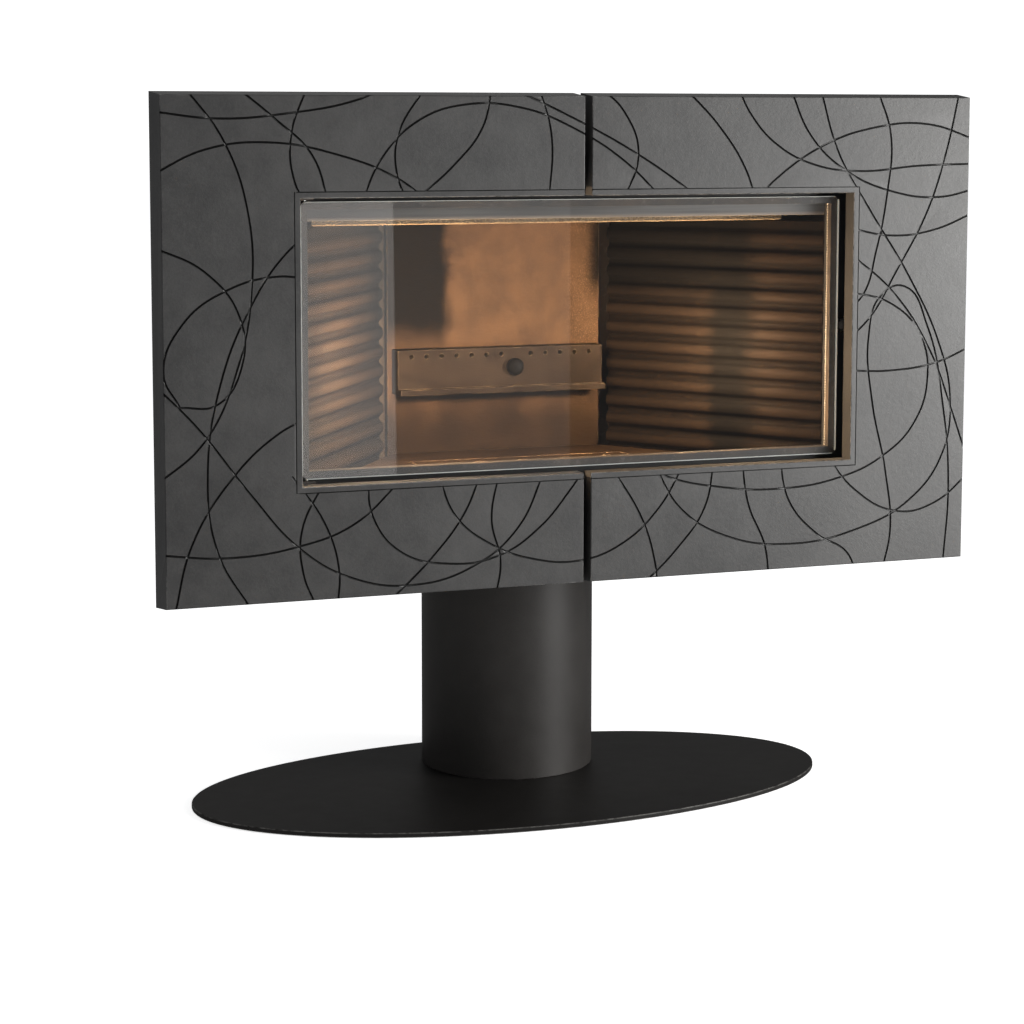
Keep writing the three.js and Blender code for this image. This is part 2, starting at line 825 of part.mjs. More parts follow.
  const washFront = frameBack + seat;
  const washBottom = frameHoleTop - washDrop;
  const washProfile = polygon([
    [washFront, frameHoleTop + washUpright],
    [washFront, frameHoleTop],
    [washFront + washSlant, washBottom],
    [washFront + washReach, washBottom],
    [washFront + washReach, washBottom + washSheet],
    [washFront + washSlant + washSheet, washBottom + washSheet],
    [washFront + washSheet, frameHoleTop],
    [washFront + washSheet, frameHoleTop + washUpright],
  ]);
  const washHalf = linerFrontX - washEndGap;
  add("air_wash_rail", drawn(washProfile, -washHalf, washHalf), boilerSteel());
}

// ---------------------------------------------------------------- door

function buildDoor() {
  const pane = rectangle([-paneHalf, paneHalf], [paneBottom, paneTop]);
  add("door_glass", pushed(pane, paneFront, paneBack), paneGlass());

  const ringHole = rectangle(
    [-paneHalf + doorRingWidth, paneHalf - doorRingWidth],
    [paneBottom + doorRingWidth, paneTop - doorRingWidth],
  );
  const ring = rectangle([-paneHalf, paneHalf], [paneBottom, paneTop]);
  add("door_frame", pushed(withHoles(ring, [ringHole]), ringFront, ringBack), boilerSteel());

  const sealInset = doorRingWidth - sealWidth - sealSetIn;
  const sealHole = rectangle(
    [-paneHalf + sealInset + sealWidth, paneHalf - sealInset - sealWidth],
    [paneBottom + sealInset + sealWidth, paneTop - sealInset - sealWidth],
  );
  const seal = rectangle(
    [-paneHalf + sealInset, paneHalf - sealInset],
    [paneBottom + sealInset, paneTop - sealInset],
  );
  add("door_gasket", pushed(withHoles(seal, [sealHole]), sealFront, sealBack), ropeGrey());

  const strikeFront = ringFront + strikeSetIn;
  const strikeX = [paneHalf + seat, paneHalf + strikeThickness];
  const strikeZ = [openingMiddle - strikeHeight / 2, openingMiddle + strikeHeight / 2];
  add("catch_strike", block(strikeX, [strikeFront, ringBack - strikeSetIn], strikeZ), brightSteel());

  for (const [name, side, edge] of [["top", 1, paneTop], ["bottom", -1, paneBottom]]) {
    const earNear = edge + side * (hingeEarGap + seat);
    const earFar = earNear + side * hingeEarThickness;
    const pinEnd = earFar + side * pinStandOut;
    const pinBase = edge + side * seat;
    const pin = bar(hingePinRadius, ...sorted(pinBase, pinEnd), 20);
    add(`hinge_pin_${name}`, pin.translate(hingeX, hingeY, 0), brightSteel());

    const leafBack = frameFront - seat;
    const leafFront = leafBack - hingeLeafThickness;
    const leafFar = earNear + side * hingeLeafHeight;
    const earX = [hingeX - hingeEarWidth / 2, hingeX + hingeEarWidth / 2];
    const ear = block(earX, [reveal + 2, leafBack], sorted(earNear, earFar));
    const leaf = block(earX, [leafFront, leafBack], sorted(earNear, leafFar));
    const [earLow, earHigh] = sorted(earNear, earFar);
    const bore = bar(hingePinRadius + pinClearance, earLow - 1, earHigh + 1, 20);
    bore.translate(hingeX, hingeY, 0);
    add(`hinge_bracket_${name}`, cut(join(ear, leaf), bore), boilerSteel());
  }
}

// ---------------------------------------------------------------- catch and air controls

function buildCatch() {
  const rollerX = paneHalf + strikeThickness + seat + rollerRadius;
  const rollerY = (ringFront + ringBack) / 2;
  const roller = tube(rollerRadius, rollerRadius - rollerPinRadius - pinClearance, 0, rollerHeight, 20);
  add("catch_roller", roller.translate(rollerX, rollerY, openingMiddle - rollerHeight / 2), brightSteel());

  const forkGap = rollerHeight / 2 + seat;
  const forkX = [rollerX - rollerPinRadius - forkEdge, rollerX + forkLength];
  const forkY = [rollerY - rollerRadius + forkEdge, rollerY + rollerRadius - forkEdge];
  const cheeks = [-1, 1].map((side) => {
    const near = openingMiddle + side * forkGap;
    const far = near + side * forkThickness;
    return block(forkX, forkY, sorted(near, far));
  });
  const web = block(
    [rollerX + rollerRadius + forkEdge, rollerX + forkLength],
    forkY,
    [openingMiddle - forkGap - forkThickness / 2, openingMiddle + forkGap + forkThickness / 2],
  );
  const pinHalf = forkGap + forkThickness;
  const pin = bar(rollerPinRadius, openingMiddle - pinHalf, openingMiddle + pinHalf, 12);
  add("catch_plunger", join(...cheeks, web, pin.translate(rollerX, rollerY, 0)), brightSteel());

  const boxNear = rollerX + rollerRadius + housingNear;
  const boxFar = rollerX + forkLength + catchTravel + housingSpare;
  const halfHeight = forkGap + forkThickness + seat;
  const outer = block(
    [boxNear, boxFar],
    [forkY[0] - housingWall - seat, frameFront - seat],
    [openingMiddle - halfHeight - housingWall, openingMiddle + halfHeight + housingWall],
  );
  const inner = block(
    [boxNear - 1, boxFar - housingWall],
    [forkY[0] - seat, forkY[1] + seat],
    [openingMiddle - halfHeight, openingMiddle + halfHeight],
  );
  add("catch_housing", cut(outer, inner), boilerSteel());
}

// A sliding shutter with its stem through the sheet and a knob outside; direction +1 is upwards.
function buildControl(name, sheetInside, sheetOutside, direction) {
  const inner = sheetInside - direction * seat;
  const shutterFar = inner - direction * casingSheet;
  const shutterPlan = rectangle(
    [controlX - controlLength + controlLap, controlX + controlLap],
    [stemY - controlSlot, portY + controlSlot],
  );
  const ports = controlPorts(-controlTravel);
  const shutter = raised(withHoles(shutterPlan, ports), ...sorted(inner, shutterFar));
  const stemEnd = sheetOutside + direction * stemLength;
  const stem = bar(stemRadius, ...sorted(shutterFar, stemEnd), 12).translate(controlX, stemY, 0);
  add(`${name}_slider`, join(shutter, stem), boilerSteel());
  const knob = turned(
    [
      [0, 0],
      [knobRadius * 0.6, 0],
      [knobRadius, knobHeight * 0.3],
      [knobRadius, knobHeight * 0.75],
      [knobRadius * 0.7, knobHeight],
      [0, knobHeight],
    ],
    20,
  );
  const knobMesh = add(`${name}_knob`, knob, satinBlack());
  knobMesh.position.set(controlX, stemY, stemEnd + direction * seat);
  if (direction < 0) knobMesh.rotation.x = Math.PI;
}

buildBase();
buildFacade();
buildCasing();
buildFirebox();
buildLining();
buildDoor();
buildCatch();
buildControl("primary_air", casingBottom + casingSheet, casingBottom, -1);
buildControl("air_wash", casingTop - casingSheet, casingTop, 1);

// The part's origin is on the floor, midway between its front and back.
const frontmost = Math.min(0, baseY - baseDepth / 2);
const rearmost = Math.max(casingBack + intakeLength, baseY + baseDepth / 2);
stove.position.y = -(frontmost + rearmost) / 2;

export default stove;
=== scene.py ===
"""Visible model of a wood burning stove on a round pedestal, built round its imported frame.

Lengths whose names end in _mm are millimetres. All other lengths are metres,
but for points of turned profiles and of the ornament's strokes, which are millimetres too.
X runs across the front, -Y comes out of the glass door and Z is up.
"""

import json
import logging
import math
from dataclasses import dataclass, field, replace
from enum import Enum
from typing import Callable, Iterable, Optional, Sequence, Union

import bmesh
import bpy
from mathutils import Matrix, Vector


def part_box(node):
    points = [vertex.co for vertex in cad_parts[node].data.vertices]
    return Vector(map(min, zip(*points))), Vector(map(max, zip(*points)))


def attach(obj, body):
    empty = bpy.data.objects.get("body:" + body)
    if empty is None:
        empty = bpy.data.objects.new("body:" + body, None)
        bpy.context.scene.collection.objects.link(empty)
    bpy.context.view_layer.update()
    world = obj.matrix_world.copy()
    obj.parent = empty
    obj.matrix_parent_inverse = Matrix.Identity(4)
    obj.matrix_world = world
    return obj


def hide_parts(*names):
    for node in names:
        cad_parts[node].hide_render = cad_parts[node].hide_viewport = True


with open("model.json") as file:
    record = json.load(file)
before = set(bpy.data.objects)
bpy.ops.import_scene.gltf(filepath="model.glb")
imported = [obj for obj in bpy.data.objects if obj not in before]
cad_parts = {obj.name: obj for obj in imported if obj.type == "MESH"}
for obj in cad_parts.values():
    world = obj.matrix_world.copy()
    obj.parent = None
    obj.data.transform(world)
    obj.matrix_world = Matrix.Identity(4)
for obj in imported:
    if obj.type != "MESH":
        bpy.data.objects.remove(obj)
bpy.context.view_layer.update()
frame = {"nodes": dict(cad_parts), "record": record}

log = logging.getLogger("stove")
MM = 0.001
Colour = tuple[float, float, float]
Point = tuple[float, float]
Place = tuple[float, float, float]
Span = tuple[float, float, float, float]
BACK = Vector((0, 1, 0))
UP = Vector((0, 0, 1))


class Slot(Enum):
    """Material slots of the record."""

    FACADE = "cast_facade"
    SATIN = "satin_black"
    SHEET = "black_sheet"
    PLATE = "boiler_plate"
    FIRE_CAST = "fire_cast_iron"
    STEEL = "bright_steel"
    BOARD = "vermiculite_board"
    GLASS = "ceramic_glass"
    ROPE = "rope_seal"


class Carving(Enum):
    """Ways to work one solid with another."""

    JOIN = "UNION"
    CUT = "DIFFERENCE"


# ---------------------------------------------------------------- shader expressions


class Value:
    """A number socket that takes part in Python expressions."""

    def __init__(self, shader: "Shader", socket: bpy.types.NodeSocket) -> None:
        """Wraps a socket of a shader's tree."""
        self.shader = shader
        self.socket = socket

    def _math(self, operation: str, *values: "Number") -> "Value":
        """The result of a Math node with these inputs."""
        node = self.shader.node("ShaderNodeMath", {"operation": operation}, dict(enumerate(values)))
        return Value(self.shader, node.outputs[0])

    def __add__(self, other: "Number") -> "Value":
        """The sum."""
        return self._math("ADD", self, other)

    __radd__ = __add__

    def __sub__(self, other: "Number") -> "Value":
        """The difference."""
        return self._math("SUBTRACT", self, other)

    def __rsub__(self, other: "Number") -> "Value":
        """A number less the value."""
        return self._math("SUBTRACT", other, self)

    def __mul__(self, other: "Number") -> "Value":
        """The product."""
        return self._math("MULTIPLY", self, other)

    __rmul__ = __mul__

    def __truediv__(self, other: "Number") -> "Value":
        """The quotient."""
        return self._math("DIVIDE", self, other)

    def __rtruediv__(self, other: "Number") -> "Value":
        """A number divided by the value."""
        return self._math("DIVIDE", other, self)

    def __abs__(self) -> "Value":
        """Size without its sign."""
        return self._math("ABSOLUTE", self)

    def sine(self) -> "Value":
        """Sine of the value in radians."""
        return self._math("SINE", self)

    def highest(self, other: "Number") -> "Value":
        """The larger of the value and another."""
        return self._math("MAXIMUM", self, other)

    def ease(self, low: float, high: float) -> "Value":
        """A smooth step.

        Args:
            low: where the step is 0.
            high: where the step is 1; it may lie below low.

        Returns:
            The step's height.
        """
        start, end, first, last = (low, high, 0.0, 1.0) if low < high else (high, low, 1.0, 0.0)
        made = self.shader.node(
            "ShaderNodeMapRange",
            {"interpolation_type": "SMOOTHSTEP"},
            {"Value": self, "From Min": start, "From Max": end, "To Min": first, "To Max": last},
        )
        return Value(self.shader, made.outputs["Result"])

    def within(self, span: Span) -> "Value":
        """A smooth hill: a span says where it leaves 0, reaches 1, leaves 1 and is 0 again."""
        foot, start, end, last = span
        return self.ease(foot, start) * self.ease(last, end)


Number = Union[float, Value]


class Tree:
    """A node tree that is filled through one method."""

    def __init__(self, tree: bpy.types.NodeTree) -> None:
        """Empties the tree of a material or of the world."""
        self.tree = tree
        self.tree.nodes.clear()

    def node(
        self, kind: str, settings: Optional[dict] = None, inputs: Optional[dict] = None
    ) -> bpy.types.Node:
        """Adds a node.

        Args:
            kind: the node's type.
            settings: its own settings, set before its inputs.
            inputs: a value or a link for each named or numbered socket.

        Returns:
            The node.
        """
        made = self.tree.nodes.new(kind)
        for name, setting in (settings or {}).items():
            setattr(made, name, setting)
        for key, given in (inputs or {}).items():
            self.feed(made.inputs[key], given)
        return made

    def feed(self, socket: bpy.types.NodeSocket, given: object) -> None:
        """Gives a socket a link or a value.

        Args:
            socket: the input socket.
            given: a Value, a socket, a number, or a colour of three numbers.
        """
        if isinstance(given, Value):
            given = given.socket
        if isinstance(given, bpy.types.NodeSocket):
            self.tree.links.new(given, socket)
        elif socket.type == "RGBA" and len(given) == 3:
            socket.default_value = (*given, 1.0)
        else:
            socket.default_value = given


class Shader(Tree):
    """The node tree of one material."""

    def __init__(self, name: str) -> None:
        """Starts a tree with its output and its Object coordinates.

        Args:
            name: the material's name.
        """
        self.material = bpy.data.materials.new(name)
        self.material.use_nodes = True
        super().__init__(self.material.node_tree)
        self.output = self.node("ShaderNodeOutputMaterial")
        self.place = self.node("ShaderNodeTexCoord").outputs["Object"]
        apart = self.node("ShaderNodeSeparateXYZ", inputs={"Vector": self.place})
        self.x, self.y, self.z = (Value(self, output) for output in apart.outputs)

    def value(self, kind: str, output: str, *given: dict) -> Value:
        """An output of a new node, with the settings and the inputs given for it."""
        return Value(self, self.node(kind, *given).outputs[output])

    def noise(
        self, scale: float, detail: float = 2.0, rough: float = 0.5, stretch: Place = (1, 1, 1)
    ) -> Value:
        """Cloudy noise.

        Args:
            scale: features in a metre.
            detail: finer octaves.
            rough: strength of the finer octaves.
            stretch: scale along each axis.

        Returns:
            The noise, from 0 to 1 about 0.5.
        """
        vector = self.place
        if stretch != (1, 1, 1):
            mapped = self.node("ShaderNodeMapping", inputs={"Vector": vector, "Scale": stretch})
            vector = mapped.outputs["Vector"]
        inputs = {"Vector": vector, "Scale": scale, "Detail": detail, "Roughness": rough}
        return self.value("ShaderNodeTexNoise", "Fac", {}, inputs)

    def cells(self, scale: float) -> Value:
        """Distance to the nearest centre in a pattern of so many cells a metre."""
        inputs = {"Vector": self.place, "Scale": scale}
        return self.value("ShaderNodeTexVoronoi", "Distance", {}, inputs)

    def mark(self, name: str) -> Value:
        """A value stored on the mesh under a name."""
        return self.value("ShaderNodeAttribute", "Fac", {"attribute_name": name})

    def worn(self, scale: float, detail: float, rough: float, low: float, high: float) -> Value:
        """Where edges are rubbed bare, broken up by a noise between two limits."""
        return self.mark("wear") * self.noise(scale, detail, rough).ease(low, high)

    def reflected(self, index: float) -> Value:
        """How much light a clear face reflects, by Schlick's rule, seen from either side.

        Args:
            index: the refractive index.

        Returns:
            The share, from 0 to 1.
        """
        slant = self.value("ShaderNodeLayerWeight", "Facing", {}, {"Blend": 0.5})
        straight = ((index - 1) / (index + 1)) ** 2
        square = slant * slant
        return square * square * slant * (1 - straight) + straight

    def blend(self, factor: Number, start: object, end: object) -> bpy.types.NodeSocket:
        """Mixes two colours.

        Args:
            factor: 0 for start, 1 for end.
            start: a colour or a colour socket.
            end: a colour or a colour socket.

        Returns:
            The mixed colour.
        """
        settings = {"data_type": "RGBA", "clamp_factor": True}
        made = self.node("ShaderNodeMix", settings, {0: factor, 6: start, 7: end})
        return made.outputs[2]

    def bump(
        self, height: Value, depth_mm: float, under: Optional[bpy.types.NodeSocket] = None
    ) -> bpy.types.NodeSocket:
        """Turns a height into a normal.

        Args:
            height: the height, from 0 to 1.
            depth_mm: the real depth between 0 and 1.
            under: a normal that the bump lies on.

        Returns:
            The bumped normal.
        """
        inputs = {"Height": height, "Distance": depth_mm * MM, "Strength": 1.0}
        if under is not None:
            inputs["Normal"] = under
        return self.node("ShaderNodeBump", inputs=inputs).outputs["Normal"]

    def surface(
        self,
        colour: object,
        roughness: Number,
        normal: Optional[bpy.types.NodeSocket] = None,
        more: Optional[dict] = None,
    ) -> bpy.types.Material:
        """Ends the tree in a Principled surface.

        Args:
            colour: its Base Color.
            roughness: its Roughness.
            normal: its Normal, if it is bumped.
            more: its other inputs.

        Returns:
            The finished material.
        """
        inputs = {"Base Color": colour, "Roughness": roughness, **(more or {})}
        if normal is not None:
            inputs["Normal"] = normal
        return self.finished(self.principled(inputs))

    def surfaces(self, factor: Value, under: dict, over: dict) -> bpy.types.Material:
        """Ends the tree in two Principled surfaces: under where the factor is 0, over at 1."""
        inputs = {0: factor, 1: self.principled(under), 2: self.principled(over)}
        return self.finished(self.node("ShaderNodeMixShader", inputs=inputs).outputs["Shader"])

    def principled(self, inputs: dict) -> bpy.types.NodeSocket:
        """A Principled surface."""
        return self.node("ShaderNodeBsdfPrincipled", inputs=inputs).outputs["BSDF"]

    def finished(self, surface: bpy.types.NodeSocket) -> bpy.types.Material:
        """The material, with this surface."""
        self.feed(self.output.inputs["Surface"], surface)
        return self.material


# ---------------------------------------------------------------- finishes


@dataclass(frozen=True)
class Finish:
    """A finish that makes its material once, the first time a piece asks for it."""

    name: str

    def material(self) -> bpy.types.Material:
        """The finish's material."""
        return bpy.data.materials.get(self.name) or self.make(Shader(self.name))

    def make(self, shader: Shader) -> bpy.types.Material:
        """Builds the node tree."""
        raise NotImplementedError


@dataclass(frozen=True)
class Paint(Finish):
    """Stove paint over metal, with grain, cloudy tone, rubbed edges and painted shade in engraved
    grooves.
    """

    dark: Colour
    light: Colour
    rubbed: Colour
    roughness: float
    gloss_change: float
    grain: float
    grain_mm: float
    pit_mm: float
    sheen: float = 0.5
    # Colour of the painted shade in engraved grooves.
    groove: Colour = (0.0015, 0.0015, 0.0015)

    def make(self, shader: Shader) -> bpy.types.Material:
        """Builds the node tree.

        Args:
            shader: the material's tree.

        Returns:
            The finished material.
        """
        cloud = shader.noise(5.0, 3.0, 0.55)
        patch = shader.noise(38.0, 3.0, 0.6)
        grain = shader.noise(self.grain, 2.0, 0.6)
        tone = (cloud * 0.55 + patch * 0.3 + grain * 0.35).ease(0.36, 0.84)
        colour = shader.blend(tone, self.dark, self.light)
        wear = shader.worn(95.0, 4.0, 0.7, 0.36, 0.62)
        colour = shader.blend(wear * 0.75, colour, self.rubbed)
        # Painted shade: faces marked as grooves take the near-black groove colour.
        colour = shader.blend(shader.mark("groove"), colour, self.groove)
        roughness = self.roughness + (patch - 0.5) * self.gloss_change - wear * 0.12
        fine = shader.bump(grain, self.grain_mm)
        pits = shader.bump(shader.noise(self.grain * 0.28, 3.0, 0.55), self.pit_mm, fine)
        return shader.surface(colour, roughness, pits, {"Specular IOR Level": self.sheen})


@dataclass(frozen=True)
class HotPlate(Finish):
    """Heat-darkened boiler plate with brown bloom and ash dust."""

    dark: Colour = (0.020, 0.018, 0.017)
    brown: Colour = (0.052, 0.040, 0.031)
    ash: Colour = (0.10, 0.088, 0.076)
    rubbed: Colour = (0.17, 0.15, 0.13)
    scale_mm: float = 0.12

    def make(self, shader: Shader) -> bpy.types.Material:
        """Builds the node tree.

        Args:
            shader: the material's tree.

        Returns:
            The finished material.
        """
        bloom = shader.noise(11.0, 4.0, 0.6)
        scale = shader.noise(160.0, 3.0, 0.6)
        colour = shader.blend(bloom.ease(0.35, 0.68), self.dark, self.brown)
        colour = shader.blend(scale.ease(0.55, 0.78) * 0.5, colour, self.ash)
        wear = shader.worn(120.0, 3.0, 0.6, 0.35, 0.6)
        colour = shader.blend(wear * 0.6, colour, self.rubbed)
        roughness = 0.62 + (bloom - 0.5) * 0.35 - wear * 0.15
        normal = shader.bump(scale, self.scale_mm)
        return shader.surface(colour, roughness, normal)


@dataclass(frozen=True)
class FireCast(Finish):
    """Cast lining browned by fire: golden crests with a painted highlight of firelight, valleys
    darkened with painted shade, and dark bands and patches.
    """

    # crest is a painted highlight of firelight on the rib crests; deep is painted shade in the rib
    # valleys.
    crest: Colour = (0.92, 0.66, 0.42)
    body: Colour = (0.010, 0.007, 0.005)
    deep: Colour = (0.003, 0.0026, 0.0023)
    sand_dark: Colour = (0.026, 0.016, 0.0097)
    sand_light: Colour = (0.052, 0.031, 0.0175)
    glint: Colour = (0.20, 0.12, 0.064)
    sparkle: float = 0.5
    pore: Colour = (0.030, 0.017, 0.010)
    rubbed: Colour = (0.46, 0.34, 0.22)
    dark_patch: Colour = (0.0025, 0.0023, 0.0021)
    sheen: float = 0.12
    lean: float = math.radians(34.49)
    front_x_mm: float = 335.5
    front_y_mm: float = -149.0
    rib_mm: float = 6.0
    grain_mm: float = 0.22
    scorch_mm: float = 0.35
    dark_band: Span = (0.234, 0.247, 0.264, 0.288)
    dark_right: Span = (0.120, 0.140, 0.240, 0.250)
    dark_right_up: Point = (0.585, 0.625)
    dark_left: Span = (-0.190, -0.165, -0.074, -0.052)
    dark_left_up: Point = (0.515, 0.570)
    darker_below: Point = (0.50, 0.43)

    def dark_patch_mask(self, shader: Shader, ragged: Value) -> Value:
        """Where the dark bands and patches lie.

        Args:
            shader: the material's tree.
            ragged: a small uneven shift, in metres.

        Returns:
            1 in the dark bands and patches and 0 elsewhere.
        """
        x = shader.x + ragged * 0.5
        z = shader.z + ragged
        right = x.within(self.dark_right) * z.ease(*self.dark_right_up)
        left = x.within(self.dark_left) * z.ease(*self.dark_left_up)
        return x.within(self.dark_band).highest(right).highest(left)

    def make(self, shader: Shader) -> bpy.types.Material:
        """Builds the node tree.

        Args:
            shader: the material's tree.

        Returns:
            The finished material.
        """
        across = math.cos(self.lean)
        along = math.sin(self.lean)
        start = (self.front_x_mm * across + self.front_y_mm * along) * MM
        rise = (start - abs(shader.x) * across - shader.y * along) / (self.rib_mm * MM)
        grain = shader.noise(720.0, 3.0, 0.65)
        patch = shader.noise(26.0, 4.0, 0.62)
        scorch = shader.noise(75.0, 4.0, 0.6, (1, 1, 2.4))
        # Painted shade in the rib valleys, from deep up to body, and a painted highlight of
        # firelight on the crests.
        crest_highlight_mask = rise.ease(0.78, 0.95) * patch.ease(0.12, 0.42)
        colour = shader.blend(rise.ease(0.2, 0.85), self.deep, self.body)
        colour = shader.blend(crest_highlight_mask, colour, self.crest)
        flat = shader.mark("flat")
        sand = shader.blend(patch.ease(0.3, 0.7), self.sand_dark, self.sand_light)
        colour = shader.blend(flat, colour, sand)
        glint = grain.ease(0.53, 0.68) * self.sparkle * flat
        colour = shader.blend(glint, colour, self.glint)
        colour = shader.blend(grain.ease(0.47, 0.32) * 0.65, colour, self.pore)
        ragged = (patch - 0.5) * 0.04 + (scorch - 0.5) * 0.02
        # Dark bands and patches, and flat pieces darker towards the bottom.
        low = (shader.z + ragged).ease(*self.darker_below) * flat * 0.7
        dark_patch = self.dark_patch_mask(shader, ragged).highest(low)
        colour = shader.blend(dark_patch * 0.97, colour, self.dark_patch)
        wear = shader.mark("wear") * scorch.ease(0.4, 0.6) * flat
        colour = shader.blend(wear * 0.4, colour, self.rubbed)
        roughness = 0.62 + (patch - 0.5) * 0.3 + dark_patch * 0.2
        normal = shader.bump(scorch, self.scorch_mm, shader.bump(grain, self.grain_mm))
        return shader.surface(colour, roughness, normal, {"Specular IOR Level": self.sheen})


@dataclass(frozen=True)
class RailSteel(Finish):
    """Smooth rolled steel of the air wash rail, dulled by heat, with a painted highlight of warm
    light along its lip.
    """

    dark: Colour = (0.040, 0.039, 0.038)
    light: Colour = (0.075, 0.073, 0.071)
    lip_highlight: Colour = (0.34, 0.27, 0.20)
    lip: Point = (0.7135, 0.7095)
    grain_mm: float = 0.03

    def make(self, shader: Shader) -> bpy.types.Material:
        """Builds the node tree.

        Args:
            shader: the material's tree.

        Returns:
            The finished material.
        """
        streak = shader.noise(30.0, 3.0, 0.55, (0.15, 1, 6))
        grain = shader.noise(800.0, 2.0, 0.5)
        colour = shader.blend(streak.ease(0.3, 0.7), self.dark, self.light)
        # Painted highlight: a warm light line along the lip.
        colour = shader.blend(shader.z.ease(*self.lip) * 0.35, colour, self.lip_highlight)
        roughness = 0.40 + (streak - 0.5) * 0.2
        normal = shader.bump(grain, self.grain_mm)
        return shader.surface(colour, roughness, normal)


@dataclass(frozen=True)
class BrightSteel(Finish):
    """Plated steel with fine turning marks and slight tarnish."""

    bright: Colour = (0.52, 0.51, 0.50)
    stained: Colour = (0.30, 0.27, 0.24)
    mark_mm: float = 0.02

    def make(self, shader: Shader) -> bpy.types.Material:
        """Builds the node tree.

        Args:
            shader: the material's tree.

        Returns:
            The finished material.
        """
        marks = shader.noise(900.0, 2.0, 0.5, (1, 1, 0.08))
        stain = shader.noise(140.0, 4.0, 0.6)
        colour = shader.blend(stain.ease(0.45, 0.75), self.bright, self.stained)
        roughness = 0.26 + marks * 0.16 + stain.ease(0.5, 0.8) * 0.15
        normal = shader.bump(marks, self.mark_mm)
        return shader.surface(colour, roughness, normal, {"Metallic": 1.0})


@dataclass(frozen=True)
class Board(Finish):
    """Pressed vermiculite: flakes, pores and a smoked underside."""

    flake: Colour = (0.46, 0.36, 0.22)
    seam: Colour = (0.22, 0.16, 0.09)
    smudge: Colour = (0.08, 0.055, 0.035)
    smoke: Colour = (0.030, 0.021, 0.015)
    underside: Point = (0.7165, 0.7010)
    flake_mm: float = 0.7
    swell_mm: float = 0.6

    def make(self, shader: Shader) -> bpy.types.Material:
        """Builds the node tree.

        Args:
            shader: the material's tree.

        Returns:
            The finished material.
        """
        flakes = shader.cells(420.0)
        patch = shader.noise(30.0, 4.0, 0.6)
        colour = shader.blend(flakes.ease(0.1, 0.75), self.flake, self.seam)
        colour = shader.blend(patch.ease(0.5, 0.72) * 0.5, colour, self.smudge)
        colour = shader.blend(shader.z.ease(*self.underside) * 0.7, colour, self.smoke)
        roughness = 0.85 + (patch - 0.5) * 0.15
        normal = shader.bump(flakes, self.flake_mm, shader.bump(patch, self.swell_mm))
        return shader.surface(colour, roughness, normal)


@dataclass(frozen=True)
class Glass(Finish):
    """Clear ceramic glass with a faint amber film low on the pane and a ground edge, whose pale
    colour is also a painted highlight standing in for the glint along the edge.
    """

    index: float = 1.46
    clear: Colour = (1.0, 1.0, 1.0)
    film: Colour = (0.90, 0.84, 0.76)
    film_cover: float = 0.012
    film_fades: Point = (0.60, 0.42)
    ground_and_glint: Colour = (0.50, 0.52, 0.50)
    ground_roughness: float = 0.45
    ground_from: float = 1.0 * MM
    ground_to: float = 0.4 * MM

    def make(self, shader: Shader) -> bpy.types.Material:
        """Builds the node tree.

        Args:
            shader: the material's tree.

        Returns:
            The finished material.
        """
        film = shader.noise(9.0, 3.0, 0.6).ease(0.45, 0.8) * shader.z.ease(*self.film_fades)
        colour = shader.blend(film, self.clear, self.film)
        low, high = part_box("door_glass")
        half = (high.z - low.z) / 2
        aside = abs(shader.x).ease(high.x - self.ground_from, high.x - self.ground_to)
        upright = abs(shader.z - (low.z + half))
        ground_and_glint = aside.highest(upright.ease(half - self.ground_from, half - self.ground_to))
        mirror = shader.reflected(self.index) + film * self.film_cover
        clear = {"Base Color": colour, "Metallic": 1.0, "Roughness": 0.0, "Alpha": mirror}
        # A ground glass edge whose pale colour also stands in as a painted highlight for the edge's
        # glint.
        frosted = {"Base Color": self.ground_and_glint, "Roughness": self.ground_roughness}
        return shader.surfaces(ground_and_glint, clear, frosted)


@dataclass(frozen=True)
class Rope(Finish):
    """Braided glass-fibre rope seal, smoked in patches, with painted shade between the strands."""

    pitch_mm: float = 3.2
    valley_shade: Colour = (0.060, 0.056, 0.050)
    strand: Colour = (0.26, 0.25, 0.225)
    smoke: Colour = (0.05, 0.042, 0.035)
    braid_mm: float = 0.6

    def make(self, shader: Shader) -> bpy.types.Material:
        """Builds the node tree.

        Args:
            shader: the material's tree.

        Returns:
            The finished material.
        """
        turn = 2 * math.pi / (self.pitch_mm * MM)
        rising = ((shader.x + shader.z) * turn).sine()
        falling = ((shader.x - shader.z) * turn).sine()
        braid = rising.highest(falling).ease(-0.2, 1.0)
        dirt = shader.noise(60.0, 4.0, 0.6)
        # Painted shade: the valleys between strands are darker than the strand tops.
        colour = shader.blend(braid, self.valley_shade, self.strand)
        colour = shader.blend(dirt.ease(0.45, 0.7) * 0.6, colour, self.smoke)
        roughness = 0.9 + (dirt - 0.5) * 0.1
        normal = shader.bump(braid, self.braid_mm)
        return shader.surface(colour, roughness, normal)


@dataclass(frozen=True)
class PaleFloor(Finish):
    """Plain pale floor."""

    dark: Colour = (0.86, 0.86, 0.855)
    light: Colour = (0.88, 0.88, 0.875)
    glow: float = 0.68

    def make(self, shader: Shader) -> bpy.types.Material:
        """Builds the node tree.

        Args:
            shader: the material's tree.

        Returns:
            The finished material.
        """
        tone = shader.noise(2.0, 2.0)
        colour = shader.blend(tone, self.dark, self.light)
        glow = {"Emission Color": (1.0, 1.0, 1.0), "Emission Strength": self.glow}
        return shader.surface(colour, 0.75 + tone * 0.05, more=glow)


